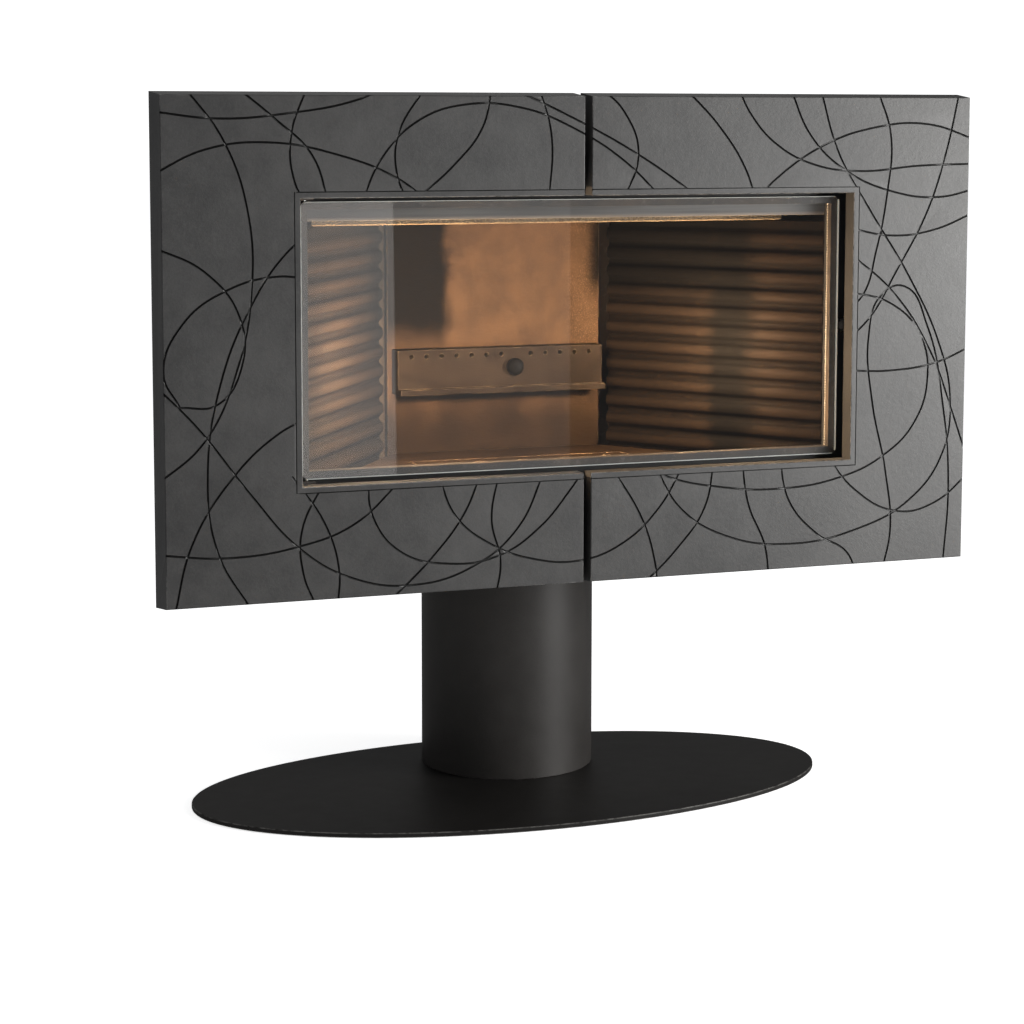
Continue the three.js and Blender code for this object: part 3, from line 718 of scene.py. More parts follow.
CAST_PAINT = Paint(
    name="CastFacadePaint",
    dark=(0.021, 0.021, 0.0215),
    light=(0.042, 0.0415, 0.041),
    rubbed=(0.16, 0.157, 0.153),
    roughness=0.44,
    gloss_change=0.12,
    grain=520.0,
    grain_mm=0.10,
    pit_mm=0.16,
)
SATIN_PAINT = Paint(
    name="SatinStovePaint",
    dark=(0.0175, 0.0160, 0.0150),
    light=(0.0275, 0.0252, 0.0236),
    rubbed=(0.11, 0.106, 0.10),
    roughness=0.46,
    gloss_change=0.10,
    grain=700.0,
    grain_mm=0.035,
    pit_mm=0.05,
    sheen=0.32,
)
# Painted shade: a darker copy of the satin paint for the floor plate.
SHADED_PLATE_PAINT = replace(
    SATIN_PAINT,
    name="ShadedFloorPlatePaint",
    dark=(0.0085, 0.0078, 0.0073),
    light=(0.0135, 0.0124, 0.0116),
    sheen=0.2,
)
# Painted shade: a darker copy of the satin paint for the bolt in the firebox.
SHADED_BOLT_PAINT = replace(
    SATIN_PAINT,
    name="ShadedBoltPaint",
    dark=(0.0020, 0.0018, 0.0017),
    light=(0.0045, 0.0041, 0.0038),
    sheen=0.15,
)
SHEET_PAINT = Paint(
    name="BlackSheetPaint",
    dark=(0.014, 0.014, 0.0145),
    light=(0.023, 0.023, 0.0235),
    rubbed=(0.10, 0.10, 0.10),
    roughness=0.50,
    gloss_change=0.12,
    grain=620.0,
    grain_mm=0.05,
    pit_mm=0.06,
)
FINISHES: dict[Slot, Finish] = {
    Slot.FACADE: CAST_PAINT,
    Slot.SATIN: SATIN_PAINT,
    Slot.SHEET: SHEET_PAINT,
    Slot.PLATE: HotPlate("BoilerPlate"),
    Slot.FIRE_CAST: FireCast("FireCastIron"),
    Slot.STEEL: BrightSteel("PlatedSteel"),
    Slot.BOARD: Board("VermiculiteBoard"),
    Slot.GLASS: Glass("CeramicGlass"),
    Slot.ROPE: Rope("RopeSeal"),
}


# ---------------------------------------------------------------- mesh making

BODY_OF = {
    node: body for body, nodes in frame["record"]["behaviour"]["bodies"].items() for node in nodes
}
SLOT_OF = {row["node"]: Slot(row["material_slot"]) for row in frame["record"]["subparts"]}


def linked(name: str, data: bpy.types.ID) -> bpy.types.Object:
    """Puts data in a new object at the origin.

    Args:
        name: the object's name.
        data: its mesh, curve, light or camera.

    Returns:
        The object.
    """
    made = bpy.data.objects.new(name, data)
    bpy.context.scene.collection.objects.link(made)
    return made


def settled(made: bpy.types.Object) -> bpy.types.Mesh:
    """A new mesh of what an object comes to with its modifiers."""
    graph = bpy.context.evaluated_depsgraph_get()
    return bpy.data.meshes.new_from_object(made.evaluated_get(graph))


def upright(node: str) -> tuple[Vector, float, float]:
    """Measures an upright round CAD node.

    Args:
        node: its name.

    Returns:
        The middle of its foot in metres, its radius and its height in millimetres.
    """
    low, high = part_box(node)
    foot = Vector(((low.x + high.x) / 2, (low.y + high.y) / 2, low.z))
    return foot, (high.x - low.x) / 2 / MM, (high.z - low.z) / MM


def rod(inner: float, outer: float, length: float, chamfer: float) -> Sequence[Point]:
    """Profile in millimetres of a rod, or of a tube with a bore, that has chamfered ends."""
    side, end = outer - chamfer, length - chamfer
    return ((inner, 0), (side, 0), (outer, chamfer), (outer, end), (side, length), (inner, length))


class Shape:
    """A mesh in the making, at its own place on the stove."""

    def __init__(self) -> None:
        """Starts with nothing."""
        self.mesh = bmesh.new()
        self.wear = self.mesh.verts.layers.float.new("wear")

    def marked(self, name: str) -> "Shape":
        """Stores a value of 1 on every corner.

        Args:
            name: the name it is stored under.

        Returns:
            The shape itself.
        """
        layer = self.mesh.verts.layers.float.new(name)
        for vert in self.mesh.verts:
            vert[layer] = 1.0
        return self

    @classmethod
    def copied(cls, node: str) -> "Shape":
        """A merged copy of a CAD node, with its flat sides made whole.

        Args:
            node: name of the CAD node.

        Returns:
            The copy, ready to be bevelled.
        """
        shape = cls()
        shape.mesh.from_mesh(frame["nodes"][node].data)
        shape.wear = shape.mesh.verts.layers.float.get("wear")
        if shape.wear is None:
            shape.wear = shape.mesh.verts.layers.float.new("wear")
        bmesh.ops.remove_doubles(shape.mesh, verts=shape.mesh.verts, dist=0.005 * MM)
        bmesh.ops.dissolve_limit(
            shape.mesh,
            angle_limit=math.radians(0.5),
            verts=shape.mesh.verts,
            edges=shape.mesh.edges,
        )
        return shape

    def block(self, low: Vector, high: Vector) -> "Shape":
        """Adds a block.

        Args:
            low: its low corner.
            high: its high corner.

        Returns:
            The shape itself.
        """
        size = Matrix.Diagonal(high - low).to_4x4()
        bmesh.ops.create_cube(self.mesh, matrix=Matrix.Translation((low + high) / 2) @ size)
        return self

    def cylinder(
        self, centre: Vector, axis: Vector, radius: float, length: float, sides: int
    ) -> "Shape":
        """Adds a closed cylinder.

        Args:
            centre: its middle.
            axis: its direction.
            radius: its radius.
            length: its length.
            sides: its number of sides.

        Returns:
            The shape itself.
        """
        turn = axis.to_track_quat("Z", "Y").to_matrix().to_4x4()
        bmesh.ops.create_cone(
            self.mesh,
            cap_ends=True,
            segments=sides,
            radius1=radius,
            radius2=radius,
            depth=length,
            matrix=Matrix.Translation(centre) @ turn,
        )
        return self

    def turned(
        self, profile_mm: Sequence[Point], centre: Vector, axis: Vector, steps: int
    ) -> "Shape":
        """Adds a turned solid.

        Args:
            profile_mm: points of (radius, height), from the axis or closed on itself.
            centre: where height zero lies on the axis.
            axis: the way up.
            steps: number of sides.

        Returns:
            The shape itself.
        """
        turn = Matrix.Translation(centre) @ axis.to_track_quat("Z", "Y").to_matrix().to_4x4()
        corners = [
            self.mesh.verts.new(turn @ (Vector((radius, 0, height)) * MM))
            for radius, height in profile_mm
        ]
        edges = [self.mesh.edges.new(pair) for pair in zip(corners, corners[1:])]
        if profile_mm[0][0] > 0:
            edges.append(self.mesh.edges.new((corners[-1], corners[0])))
        bmesh.ops.spin(
            self.mesh,
            geom=corners + edges,
            cent=centre,
            axis=axis,
            angle=2 * math.pi,
            steps=steps,
            use_merge=True,
        )
        bmesh.ops.remove_doubles(self.mesh, verts=self.mesh.verts, dist=0.002 * MM)
        bmesh.ops.recalc_face_normals(self.mesh, faces=self.mesh.faces)
        return self

    def bevelled(
        self,
        width_mm: float,
        segments: int = 2,
        sharper_than: float = 32.0,
        where: Optional[Callable[[bmesh.types.BMEdge], bool]] = None,
    ) -> "Shape":
        """Rounds sharp edges and marks the crests of the rounding as worn.

        Args:
            width_mm: width of the rounding on each side of an edge.
            segments: steps across the rounding.
            sharper_than: smallest turn in degrees that counts as sharp.
            where: a test that an edge has to pass, if not all sharp edges are rounded.

        Returns:
            The shape itself.
        """
        limit = math.radians(sharper_than)
        chosen = [
            edge
            for edge in self.mesh.edges
            if len(edge.link_faces) == 2
            and edge.calc_face_angle(0.0) > limit
            and (where is None or where(edge))
        ]
        made = bmesh.ops.bevel(
            self.mesh,
            geom=chosen,
            offset=width_mm * MM,
            offset_type="OFFSET",
            affect="EDGES",
            segments=segments,
            profile=0.5,
            material=-1,
            clamp_overlap=True,
        )
        rounded = set(made["faces"])
        for corner in {vert for face in rounded for vert in face.verts}:
            if all(face in rounded for face in corner.link_faces):
                corner[self.wear] = 1.0
        return self

    def as_object(self, name: str) -> bpy.types.Object:
        """Ends the work.

        Args:
            name: the object's name.

        Returns:
            An object at the origin with the mesh.
        """
        mesh = bpy.data.meshes.new(name)
        self.mesh.to_mesh(mesh)
        self.mesh.free()
        return linked(name, mesh)


def carve(body: bpy.types.Object, tool: bpy.types.Object, carving: Carving) -> None:
    """Works a solid with another, at once.

    Args:
        body: the solid that is changed.
        tool: the solid it is worked with.
        carving: what is done.
    """
    modifier = body.modifiers.new("carving", "BOOLEAN")
    modifier.solver = "MANIFOLD"
    modifier.operation = carving.value
    modifier.object = tool
    before = body.data
    body.data = settled(body)
    body.modifiers.clear()
    bpy.data.meshes.remove(before)


def discard(*tools: bpy.types.Object) -> None:
    """Removes objects that were only tools."""
    for tool in tools:
        bpy.data.meshes.remove(tool.data)


# ---------------------------------------------------------------- assemblies


@dataclass
class Assembly:
    """A group of pieces that belong together."""

    pieces: dict[str, Slot] = field(default_factory=dict, init=False)

    def build(self) -> None:
        """Makes the meshes."""
        raise NotImplementedError

    def finish_of(self, name: str, slot: Slot) -> Finish:
        """The finish of a piece, which is that of its slot unless a group says otherwise."""
        return FINISHES[slot]

    def dress(self) -> None:
        """Gives each piece its finish."""
        for name, slot in self.pieces.items():
            made = bpy.data.objects[name]
            made.data.materials.clear()
            made.data.materials.append(self.finish_of(name, slot).material())
            log.info("%s: %s, %d faces", name, slot.value, len(made.data.polygons))

    def settle(
        self, made: bpy.types.Object, body: str, slot: Slot, *nodes: str, smooth: float = 38.0
    ) -> None:
        """Smooths a finished piece and hangs it on its body.

        Args:
            made: the piece.
            body: the body it moves with.
            slot: the material slot of its finish.
            nodes: CAD nodes that it stands for.
            smooth: turns up to this many degrees are shaded as one surface.
        """
        made.data.shade_smooth()
        made.data.set_sharp_from_angle(angle=math.radians(smooth))
        weighted = made.modifiers.new("flats", "WEIGHTED_NORMAL")
        weighted.keep_sharp = True
        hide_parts(*nodes)
        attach(made, body)
        self.pieces[made.name] = slot

    def stand_in(self, shape: Shape, name: str, node: str, smooth: float = 38.0) -> None:
        """Ends a shape as the piece that stands for a CAD node, with its body and its slot."""
        made = shape.as_object(name)
        self.settle(made, BODY_OF[node], SLOT_OF[node], node, smooth=smooth)

    def refine(
        self, node: str, width_mm: float, segments: int = 2, sharper_than: float = 32.0
    ) -> None:
        """Puts a finer copy, with edges rounded as bevelled() does it, in place of a CAD node."""
        shape = Shape.copied(node).bevelled(width_mm, segments, sharper_than)
        self.stand_in(shape, "fine_" + node, node)


@dataclass
class Facade(Assembly):
    """Two cast halves with an engraved line ornament and a flat rim round the opening."""

    line_mm: float = 1.45
    rim_mm: float = 7.0
    rim_line_mm: float = 0.95
    edge_mm: float = 1.3
    reveal_mm: float = 22.0
    flare_mm: float = 4.0
    side_gap_mm: float = 6.5
    end_gap_mm: float = 4.5
    keep_deep_mm: float = 10.0
    long_edge_mm: float = 30.0
    bar_steps: int = 10

    def strokes(self) -> Iterable[Sequence[Point]]:
        """Strokes of the ornament: the left column, over and under the opening, the right.

        Returns:
            Points of each stroke, in millimetres from the middle of the facade's lower edge.
        """
        return (
            # left column
            ((-512, 478), (-452, 506), (-380, 514), (-300, 500), (-232, 474), (-190, 444)),
            ((-474, 576), (-430, 516), (-404, 440), (-400, 352), (-418, 262), (-456, 184),
             (-512, 138)),
            ((-512, 402), (-452, 372), (-414, 322), (-412, 268), (-440, 226), (-482, 224)),
            ((-482, 224), (-500, 262), (-478, 316), (-428, 352), (-372, 366), (-330, 362)),
            ((-492, -10), (-470, 72), (-425, 142), (-372, 190), (-326, 212)),
            ((-512, 62), (-430, 54), (-350, 62), (-284, 84), (-226, 134)),
            ((-402, -10), (-442, 62), (-452, 150), (-436, 250), (-402, 332), (-360, 392),
             (-326, 418)),
            ((-512, 252), (-462, 200), (-402, 122), (-350, 62), (-290, 24), (-216, 10), (-140, 28),
             (-86, 70), (-54, 134)),
            ((-512, 548), (-436, 540), (-356, 546), (-280, 560), (-236, 578)),
            ((-420, 578), (-372, 540), (-330, 500), (-310, 440)),
            # over the opening, left
            ((-334, 578), (-354, 520), (-350, 470), (-334, 440)),
            ((-276, 440), (-248, 498), (-206, 538), (-150, 556), (-80, 552), (-20, 530), (44, 492),
             (100, 440)),
            ((-196, 578), (-230, 522), (-232, 480), (-216, 440)),
            ((-118, 578), (-130, 530), (-162, 490), (-222, 440)),
            ((-62, 578), (-46, 520), (-50, 440)),
            ((-104, 578), (-30, 546), (60, 500), (134, 452), (150, 440)),
            # under the opening, left
            ((-318, 136), (-345, 80), (-344, 32), (-328, -10)),
            ((-356, 142), (-318, 86), (-302, 32), (-304, -10)),
            ((-268, 138), (-262, 92), (-230, 50), (-170, 32), (-110, 38), (-60, 68), (-22, 110),
             (0, 140)),
            ((-184, 136), (-162, 86), (-120, 52), (-70, 32), (-10, 26), (42, 42), (90, 82),
             (124, 136)),
            ((-110, 136), (-119, 80), (-108, 30), (-114, -10)),
            ((-246, -10), (-192, 40), (-152, 90), (-132, 136)),
            # right column
            ((512, 514), (442, 534), (370, 530), (300, 508), (240, 470), (208, 440)),
            ((512, 486), (432, 484), (350, 478), (290, 486), (240, 510), (206, 545), (188, 578)),
            ((474, -10), (480, 92), (470, 192), (446, 290), (414, 338), (382, 328), (366, 278),
             (372, 200), (392, 112), (400, 40), (390, -10)),
            ((512, 428), (452, 406), (396, 400), (336, 410)),
            ((330, 386), (400, 330), (450, 260), (484, 180), (512, 104)),
            ((330, 334), (395, 318), (436, 280), (448, 226), (430, 170), (385, 130), (330, 108),
             (250, 98), (170, 104), (96, 122), (58, 144)),
            ((330, 238), (400, 236), (460, 244), (512, 264)),
            ((296, 578), (322, 500), (366, 430), (420, 350), (462, 270), (480, 200), (470, 130),
             (426, 76), (350, 42), (260, 30), (180, 44), (120, 80), (84, 136)),
            ((256, 578), (285, 520), (330, 480), (400, 452), (460, 446), (512, 456)),
            ((486, 578), (468, 500), (444, 430), (402, 356), (366, 300), (330, 270)),
            ((372, 578), (392, 520), (388, 450), (374, 380), (358, 330), (330, 306)),
            # under the opening, right
            ((248, 138), (262, 82), (300, 40), (340, 16), (354, -10)),
            ((198, 138), (208, 80), (230, 30), (236, -10)),
            ((28, 138), (70, 70), (86, 20), (90, -10)),
            ((162, 138), (150, 80), (112, 30), (68, -10)),
            ((304, 146), (350, 92), (410, 62), (460, 70), (512, 108)),
            # over the opening, right
            ((118, 578), (166, 530), (200, 480), (214, 440)),
            ((40, 440), (62, 500), (44, 548), (12, 578)),
        )

    def line(
        self, stroke: Sequence[Point], radius_mm: float, ring: bool = False
    ) -> bpy.types.Object:
        """A thin round bar along a stroke on the facade's face.

        Args:
            stroke: points in millimetres from the middle of the facade's lower edge.
            radius_mm: the bar's radius.
            ring: whether the stroke closes, with straight runs.

        Returns:
            The bar, as a closed mesh.
        """
        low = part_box("facade_left")[0]
        path = bpy.data.curves.new("line", "CURVE")
        path.dimensions = "3D"
        path.resolution_u = self.bar_steps
        path.bevel_depth = radius_mm * MM
        path.bevel_resolution = 1
        path.use_fill_caps = True
        spline = path.splines.new("POLY" if ring else "BEZIER")
        knots = spline.points if ring else spline.bezier_points
        knots.add(len(stroke) - 1)
        for knot, (across, up) in zip(knots, stroke):
            place = Vector((across * MM, low.y, low.z + self.flare_mm * MM + up * MM))
            knot.co = (*place, 1.0) if ring else place
            if not ring:
                knot.handle_left_type = knot.handle_right_type = "AUTO"
        spline.use_cyclic_u = ring
        drawn = linked("line", path)
        bpy.context.view_layer.update()
        mesh = settled(drawn)
        bpy.data.curves.remove(path)
        work = bmesh.new()
        work.from_mesh(mesh)
        bmesh.ops.remove_doubles(work, verts=work.verts, dist=0.01 * MM)
        bmesh.ops.recalc_face_normals(work, faces=work.faces)
        for face in work.faces:
            face.material_index = 1
        work.to_mesh(mesh)
        work.free()
        return linked("line", mesh)

    def rim(self, margin_mm: float) -> tuple[Vector, Vector]:
        """Corners of the opening with a margin round it.

        Args:
            margin_mm: the margin.

        Returns:
            The low and the high corner, on the facade's face.
        """
        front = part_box("facade_left")[0].y
        low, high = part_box("door_glass")
        half = (high.x - low.x) / 2 + (self.side_gap_mm + margin_mm) * MM
        gap = (self.end_gap_mm + margin_mm) * MM
        return Vector((-half, front, low.z - gap)), Vector((half, front, high.z + gap))

    def ornament(self) -> bpy.types.Object:
        """All lines of the ornament as one solid, kept off the rim.

        Returns:
            The solid that is cut out of the facade.
        """
        lines = [self.line(stroke, self.line_mm) for stroke in self.strokes()]
        whole = lines[0]
        for tool in lines[1:]:
            carve(whole, tool, Carving.JOIN)
        low, high = self.rim(self.rim_mm)
        deep = BACK * self.keep_deep_mm * MM
        keep = Shape().block(low - deep, high + deep).as_object("keep")
        carve(whole, keep, Carving.CUT)
        discard(keep, *lines[1:])
        return whole

    def rim_line(self) -> bpy.types.Object:
        """The thin line that bounds the rim.

        Returns:
            The solid that is cut out of the facade.
        """
        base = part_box("facade_left")[0].z + self.flare_mm * MM
        low, high = self.rim(self.rim_mm)
        corners = ((low.x, low.z), (high.x, low.z), (high.x, high.z), (low.x, high.z))
        stroke = [(x / MM, (z - base) / MM) for x, z in corners]
        return self.line(stroke, self.rim_line_mm, ring=True)

    def build(self) -> None:
        """Rounds the edges of both halves and engraves them."""
        ornament = self.ornament()
        rim_line = self.rim_line()
        for node in ("facade_left", "facade_right"):
            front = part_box(node)[0].y + (self.reveal_mm + 1) * MM

            def outer(edge: bmesh.types.BMEdge) -> bool:
                """Whether an edge is a long one near the face."""
                near = all(vert.co.y < front for vert in edge.verts)
                return near and edge.calc_length() > self.long_edge_mm * MM

            shape = Shape.copied(node).bevelled(self.edge_mm, 3, 40.0, outer)
            half = shape.as_object("engraved_" + node)
            for _ in ("face", "groove"):
                half.data.materials.append(FINISHES[Slot.FACADE].material())
            for tool in (ornament, rim_line):
                carve(half, tool, Carving.CUT)
            # Faces cut by the ornament's lines are marked to get painted shade in the grooves.
            groove = half.data.attributes.new("groove", "FLOAT", "FACE")
            for polygon in half.data.polygons:
                groove.data[polygon.index].value = float(polygon.material_index == 1)
                polygon.material_index = 0
            self.settle(half, BODY_OF[node], SLOT_OF[node], node, smooth=44.0)
        discard(ornament, rim_line)


@dataclass
class Base(Assembly):
    """Oval floor plate and round pedestal with its bolted rings."""

    plate_sides: int = 256
    plate_edge_mm: float = 1.4
    tube_sides: int = 160
    tube_wall_mm: float = 4.0
    tube_edge_mm: float = 0.6
    ring_edge_mm: float = 0.5
    bolt_edge_mm: float = 0.7
    bolts: int = 4
    bolt_hole_mm: float = 5.3
    hole_sides: int = 24

    def finish_of(self, name: str, slot: Slot) -> Finish:
        """The floor plate gets a darker copy of the tube's paint, painted shade."""
        return SHADED_PLATE_PAINT if name == "oval_plate" else FINISHES[slot]

    def plate(self) -> None:
        """The oval plate, bored for the foot bolts."""
        low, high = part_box("base_plate")
        shape = Shape()
        size = (high - low) / 2
        stretch = Matrix.Diagonal((size.x, size.y, 1, 1))
        centre = upright("base_plate")[0]
        bmesh.ops.create_circle(
            shape.mesh,
            cap_ends=True,
            segments=self.plate_sides,
            radius=1.0,
            matrix=Matrix.Translation(centre) @ stretch,
        )
        raised = bmesh.ops.extrude_face_region(shape.mesh, geom=shape.mesh.faces[:])["geom"]
        tops = [item for item in raised if isinstance(item, bmesh.types.BMVert)]
        bmesh.ops.translate(shape.mesh, vec=(0, 0, high.z - low.z), verts=tops)
        bmesh.ops.recalc_face_normals(shape.mesh, faces=shape.mesh.faces)
        shape.bevelled(self.plate_edge_mm, 3, 60.0)
        made = shape.as_object("oval_plate")
        depth = 4 * (high.z - low.z)
        for index in range(1, self.bolts + 1):
            near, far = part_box(f"foot_bolt_{index}")
            middle = (near + far) / 2
            middle.z = (low.z + high.z) / 2
            drill = Shape().cylinder(middle, UP, self.bolt_hole_mm * MM, depth, self.hole_sides)
            tool = drill.as_object("drill")
            carve(made, tool, Carving.CUT)
            discard(tool)
        self.settle(made, BODY_OF["base_plate"], Slot.SATIN, "base_plate")

    def pedestal(self) -> None:
        """The round tube."""
        centre, outer, top = upright("pedestal_tube")
        inner = outer - self.tube_wall_mm
        profile = ((inner, 0), (outer, 0), (outer, top), (inner, top))
        shape = Shape().turned(profile, centre, UP, self.tube_sides)
        shape.bevelled(self.tube_edge_mm, 2, 60.0)
        self.stand_in(shape, "round_pedestal", "pedestal_tube")

    def build(self) -> None:
        """Makes the plate, the pedestal and the rings."""
        self.plate()
        self.pedestal()
        for end in ("foot", "head"):
            self.refine(f"pedestal_{end}_ring", self.ring_edge_mm)
        for index in range(1, self.bolts + 1):
            for end in ("foot", "head"):
                self.refine(f"{end}_bolt_{index}", self.bolt_edge_mm, 2, 40.0)


@dataclass
class Casing(Assembly):
    """Painted steel sheets round the firebox, with their screws and the front frame."""

    edge_mm: float = 0.5
    frame_edge_mm: float = 0.8
    front_screws: int = 6
    front_screw_edge_mm: float = 0.6
    screw_sides: int = 24
    screw_bed_mm: float = 0.02
    screw_socket: float = 0.42
    screw_radius_mm: float = 4.0
    screw_height_mm: float = 2.2
    screw_inset_mm: float = 11.0

    def screw(self, name: str, place: Vector, axis: Vector) -> None:
        """A pan-head screw with a hexagon socket.

        Args:
            name: the piece's name.
            place: where it meets the sheet.
            axis: the way its head looks.
        """
        radius, height = self.screw_radius_mm, self.screw_height_mm
        socket = self.screw_socket * radius
        bed = self.screw_bed_mm
        rise = [(0, bed), (radius, bed), (radius, 0.35 * height), (0.88 * radius, 0.75 * height)]
        top = [(0.62 * radius, height), (socket, height)]
        hollow = [(0.85 * socket, 0.35 * height), (0, 0.3 * height)]
        shape = Shape().turned(rise + top + hollow, place, axis, self.screw_sides)
        self.settle(shape.as_object(name), "stove", Slot.STEEL)

    def screws(self) -> None:
        """Screws along the edges of the back, the sides and the top."""
        low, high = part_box("casing_back")
        inset = self.screw_inset_mm * MM
        across = [low.x + inset, low.x / 2, high.x / 2, high.x - inset]
        up = [low.z + inset, (low.z + high.z) / 2, high.z - inset]
        spots = [(x, z) for z in up for x in across if z != up[1] or abs(x) > high.x - 2 * inset]
        for count, (x, z) in enumerate(spots, 1):
            self.screw(f"back_screw_{count}", Vector((x, high.y, z)), BACK)
        for side, node in ((-1, "casing_left"), (1, "casing_right")):
            near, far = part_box(node)
            face = near.x if side < 0 else far.x
            rows = [near.y + 2 * inset, far.y - inset]
            up = [near.z + inset, (near.z + far.z) / 2, far.z - inset]
            for count, (y, z) in enumerate([(y, z) for y in rows for z in up], 1):
                self.screw(f"{node}_screw_{count}", Vector((face, y, z)), Vector((side, 0, 0)))
        near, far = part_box("casing_top")
        spots = [(x, near.y + 2 * inset) for x in across] + [(x, far.y - inset) for x in across]
        for count, (x, y) in enumerate(spots, 1):
            self.screw(f"top_screw_{count}", Vector((x, y, far.z)), UP)

    def build(self) -> None:
        """Makes the sheets, the front frame and the screws."""
        for side in ("left", "right", "top", "bottom", "back"):
            self.refine("casing_" + side, self.edge_mm)
        self.refine("front_frame", self.frame_edge_mm)
        for index in range(1, self.front_screws + 1):
            self.refine(f"facade_screw_{index}", self.front_screw_edge_mm, 2, 40.0)
        self.screws()


@dataclass
class Ducts(Assembly):
    """Flue collar on the roof and air spigot at the back."""

    sides: int = 96
    flange_mm: float = 4.0
    weld_mm: float = 1.5
    bead_at: float = 0.72
    bead_half_mm: float = 5.0
    bead_shoulder: float = 0.7
    lip_mm: Point = (0.5, 0.4)

    def ring(
        self, name: str, node: str, axis: Vector, flange: float, wall: float, bead: float
    ) -> None:
        """A flanged round duct with a rolled bead.

        Args:
            name: the piece's name.
            node: the CAD node it stands for.
            axis: the way it points.
            flange: millimetres that its flange stands out.
            wall: thickness of its wall in millimetres.
            bead: height of the bead in millimetres.
        """
        low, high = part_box(node)
        size = high - low
        length = size.dot(axis) / MM
        centre = (low + high) / 2 - axis * length * MM / 2
        widest = max(size - axis * size.dot(axis)) / 2 / MM
        outer = widest - flange
        inner = outer - wall
        crest = length * self.bead_at
        half = self.bead_half_mm
        shoulder = outer + bead * self.bead_shoulder
        aside, down = self.lip_mm
        profile = (
            (inner, 0),
            (widest, 0),
            (widest, self.flange_mm),
            (outer + self.weld_mm, self.flange_mm),
            (outer, self.flange_mm + self.weld_mm),
            (outer, crest - half),
            (shoulder, crest - half / 2),
            (outer + bead, crest),
            (shoulder, crest + half / 2),
            (outer, crest + half),
            (outer, length - down),
            (outer - aside, length),
            (inner + aside, length),
            (inner, length - down),
        )
        self.stand_in(Shape().turned(profile, centre, axis, self.sides), name, node)

    def build(self) -> None:
        """Makes the collar and the spigot."""
        self.ring("flue_collar_turned", "flue_collar", UP, 20.0, 3.0, 1.6)
        self.ring("air_spigot_turned", "air_intake_spigot", BACK, 12.0, 2.0, 1.2)


@dataclass
class Firebox(Assembly):
    """Welded firebox with its cast lining, grate, ash pan, baffle and air bars."""

    plate_edge_mm: float = 0.8
    sheet_edge_mm: float = 0.5
    rib_edge_mm: float = 2.0
    rail_edge_mm: float = 0.6
    board_edge_mm: float = 2.2
    flat_edges: Sequence[tuple[str, float, int]] = (
        ("liner_back", 1.5, 2),
        ("rear_air_manifold", 1.2, 2),
        ("hearth_plate", 1.5, 2),
        ("grate", 1.8, 3),
    )
    bolt_sides: int = 64
    bolt_head_mm: float = 9.0
    bolt_dome: Sequence[Point] = ((1.0, 5.0), (0.93, 2.8), (0.75, 1.2), (0.5, 0.3), (0.0, 0.0))
    special: dict[str, Finish] = field(
        default_factory=lambda: {
            "fine_air_wash_rail": RailSteel("RailSteel"),
            "fine_rear_air_manifold": FireCast(
                "SmokedAirBar",
                sand_dark=(0.006, 0.0048, 0.0039),
                sand_light=(0.016, 0.0125, 0.0098),
                sparkle=0.12,
            ),
            "round_head_bolt": SHADED_BOLT_PAINT,
        }
    )

    def finish_of(self, name: str, slot: Slot) -> Finish:
        """The air wash rail is smoother than the plates, the rear air bar sooty and its bolt
        darkened with painted shade.
        """
        return self.special.get(name, FINISHES[slot])

    def bolt(self) -> None:
        """The round-headed bolt of the rear air bar."""
        low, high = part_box("manifold_bolt")
        radius = (high.x - low.x) / 2 / MM
        centre = Vector(((low.x + high.x) / 2, low.y, (low.z + high.z) / 2))
        length = (high.y - low.y) / MM
        head = self.bolt_head_mm
        shank = [(0, length), (radius / 2, length), (radius / 2, head), (radius, head)]
        dome = [(radius * share, height) for share, height in self.bolt_dome]
        shape = Shape().turned(shank + dome, centre, BACK, self.bolt_sides)
        self.stand_in(shape, "round_head_bolt", "manifold_bolt")

    def build(self) -> None:
        """Makes the plates, the lining and the loose pieces."""
        for side in ("floor", "roof", "left", "right", "back"):
            self.refine("firebox_" + side, self.plate_edge_mm)
        self.refine("ash_well", self.sheet_edge_mm)
        for side in ("left", "right"):
            self.refine("liner_" + side, self.rib_edge_mm, 3, 14.0)
        for node, width, segments in self.flat_edges:
            shape = Shape.copied(node).bevelled(width, segments).marked("flat")
            self.stand_in(shape, "fine_" + node, node)
        self.bolt()
        self.refine("air_wash_rail", self.rail_edge_mm)
        self.refine("ash_pan", self.sheet_edge_mm)
        self.refine("baffle", self.board_edge_mm, 3)


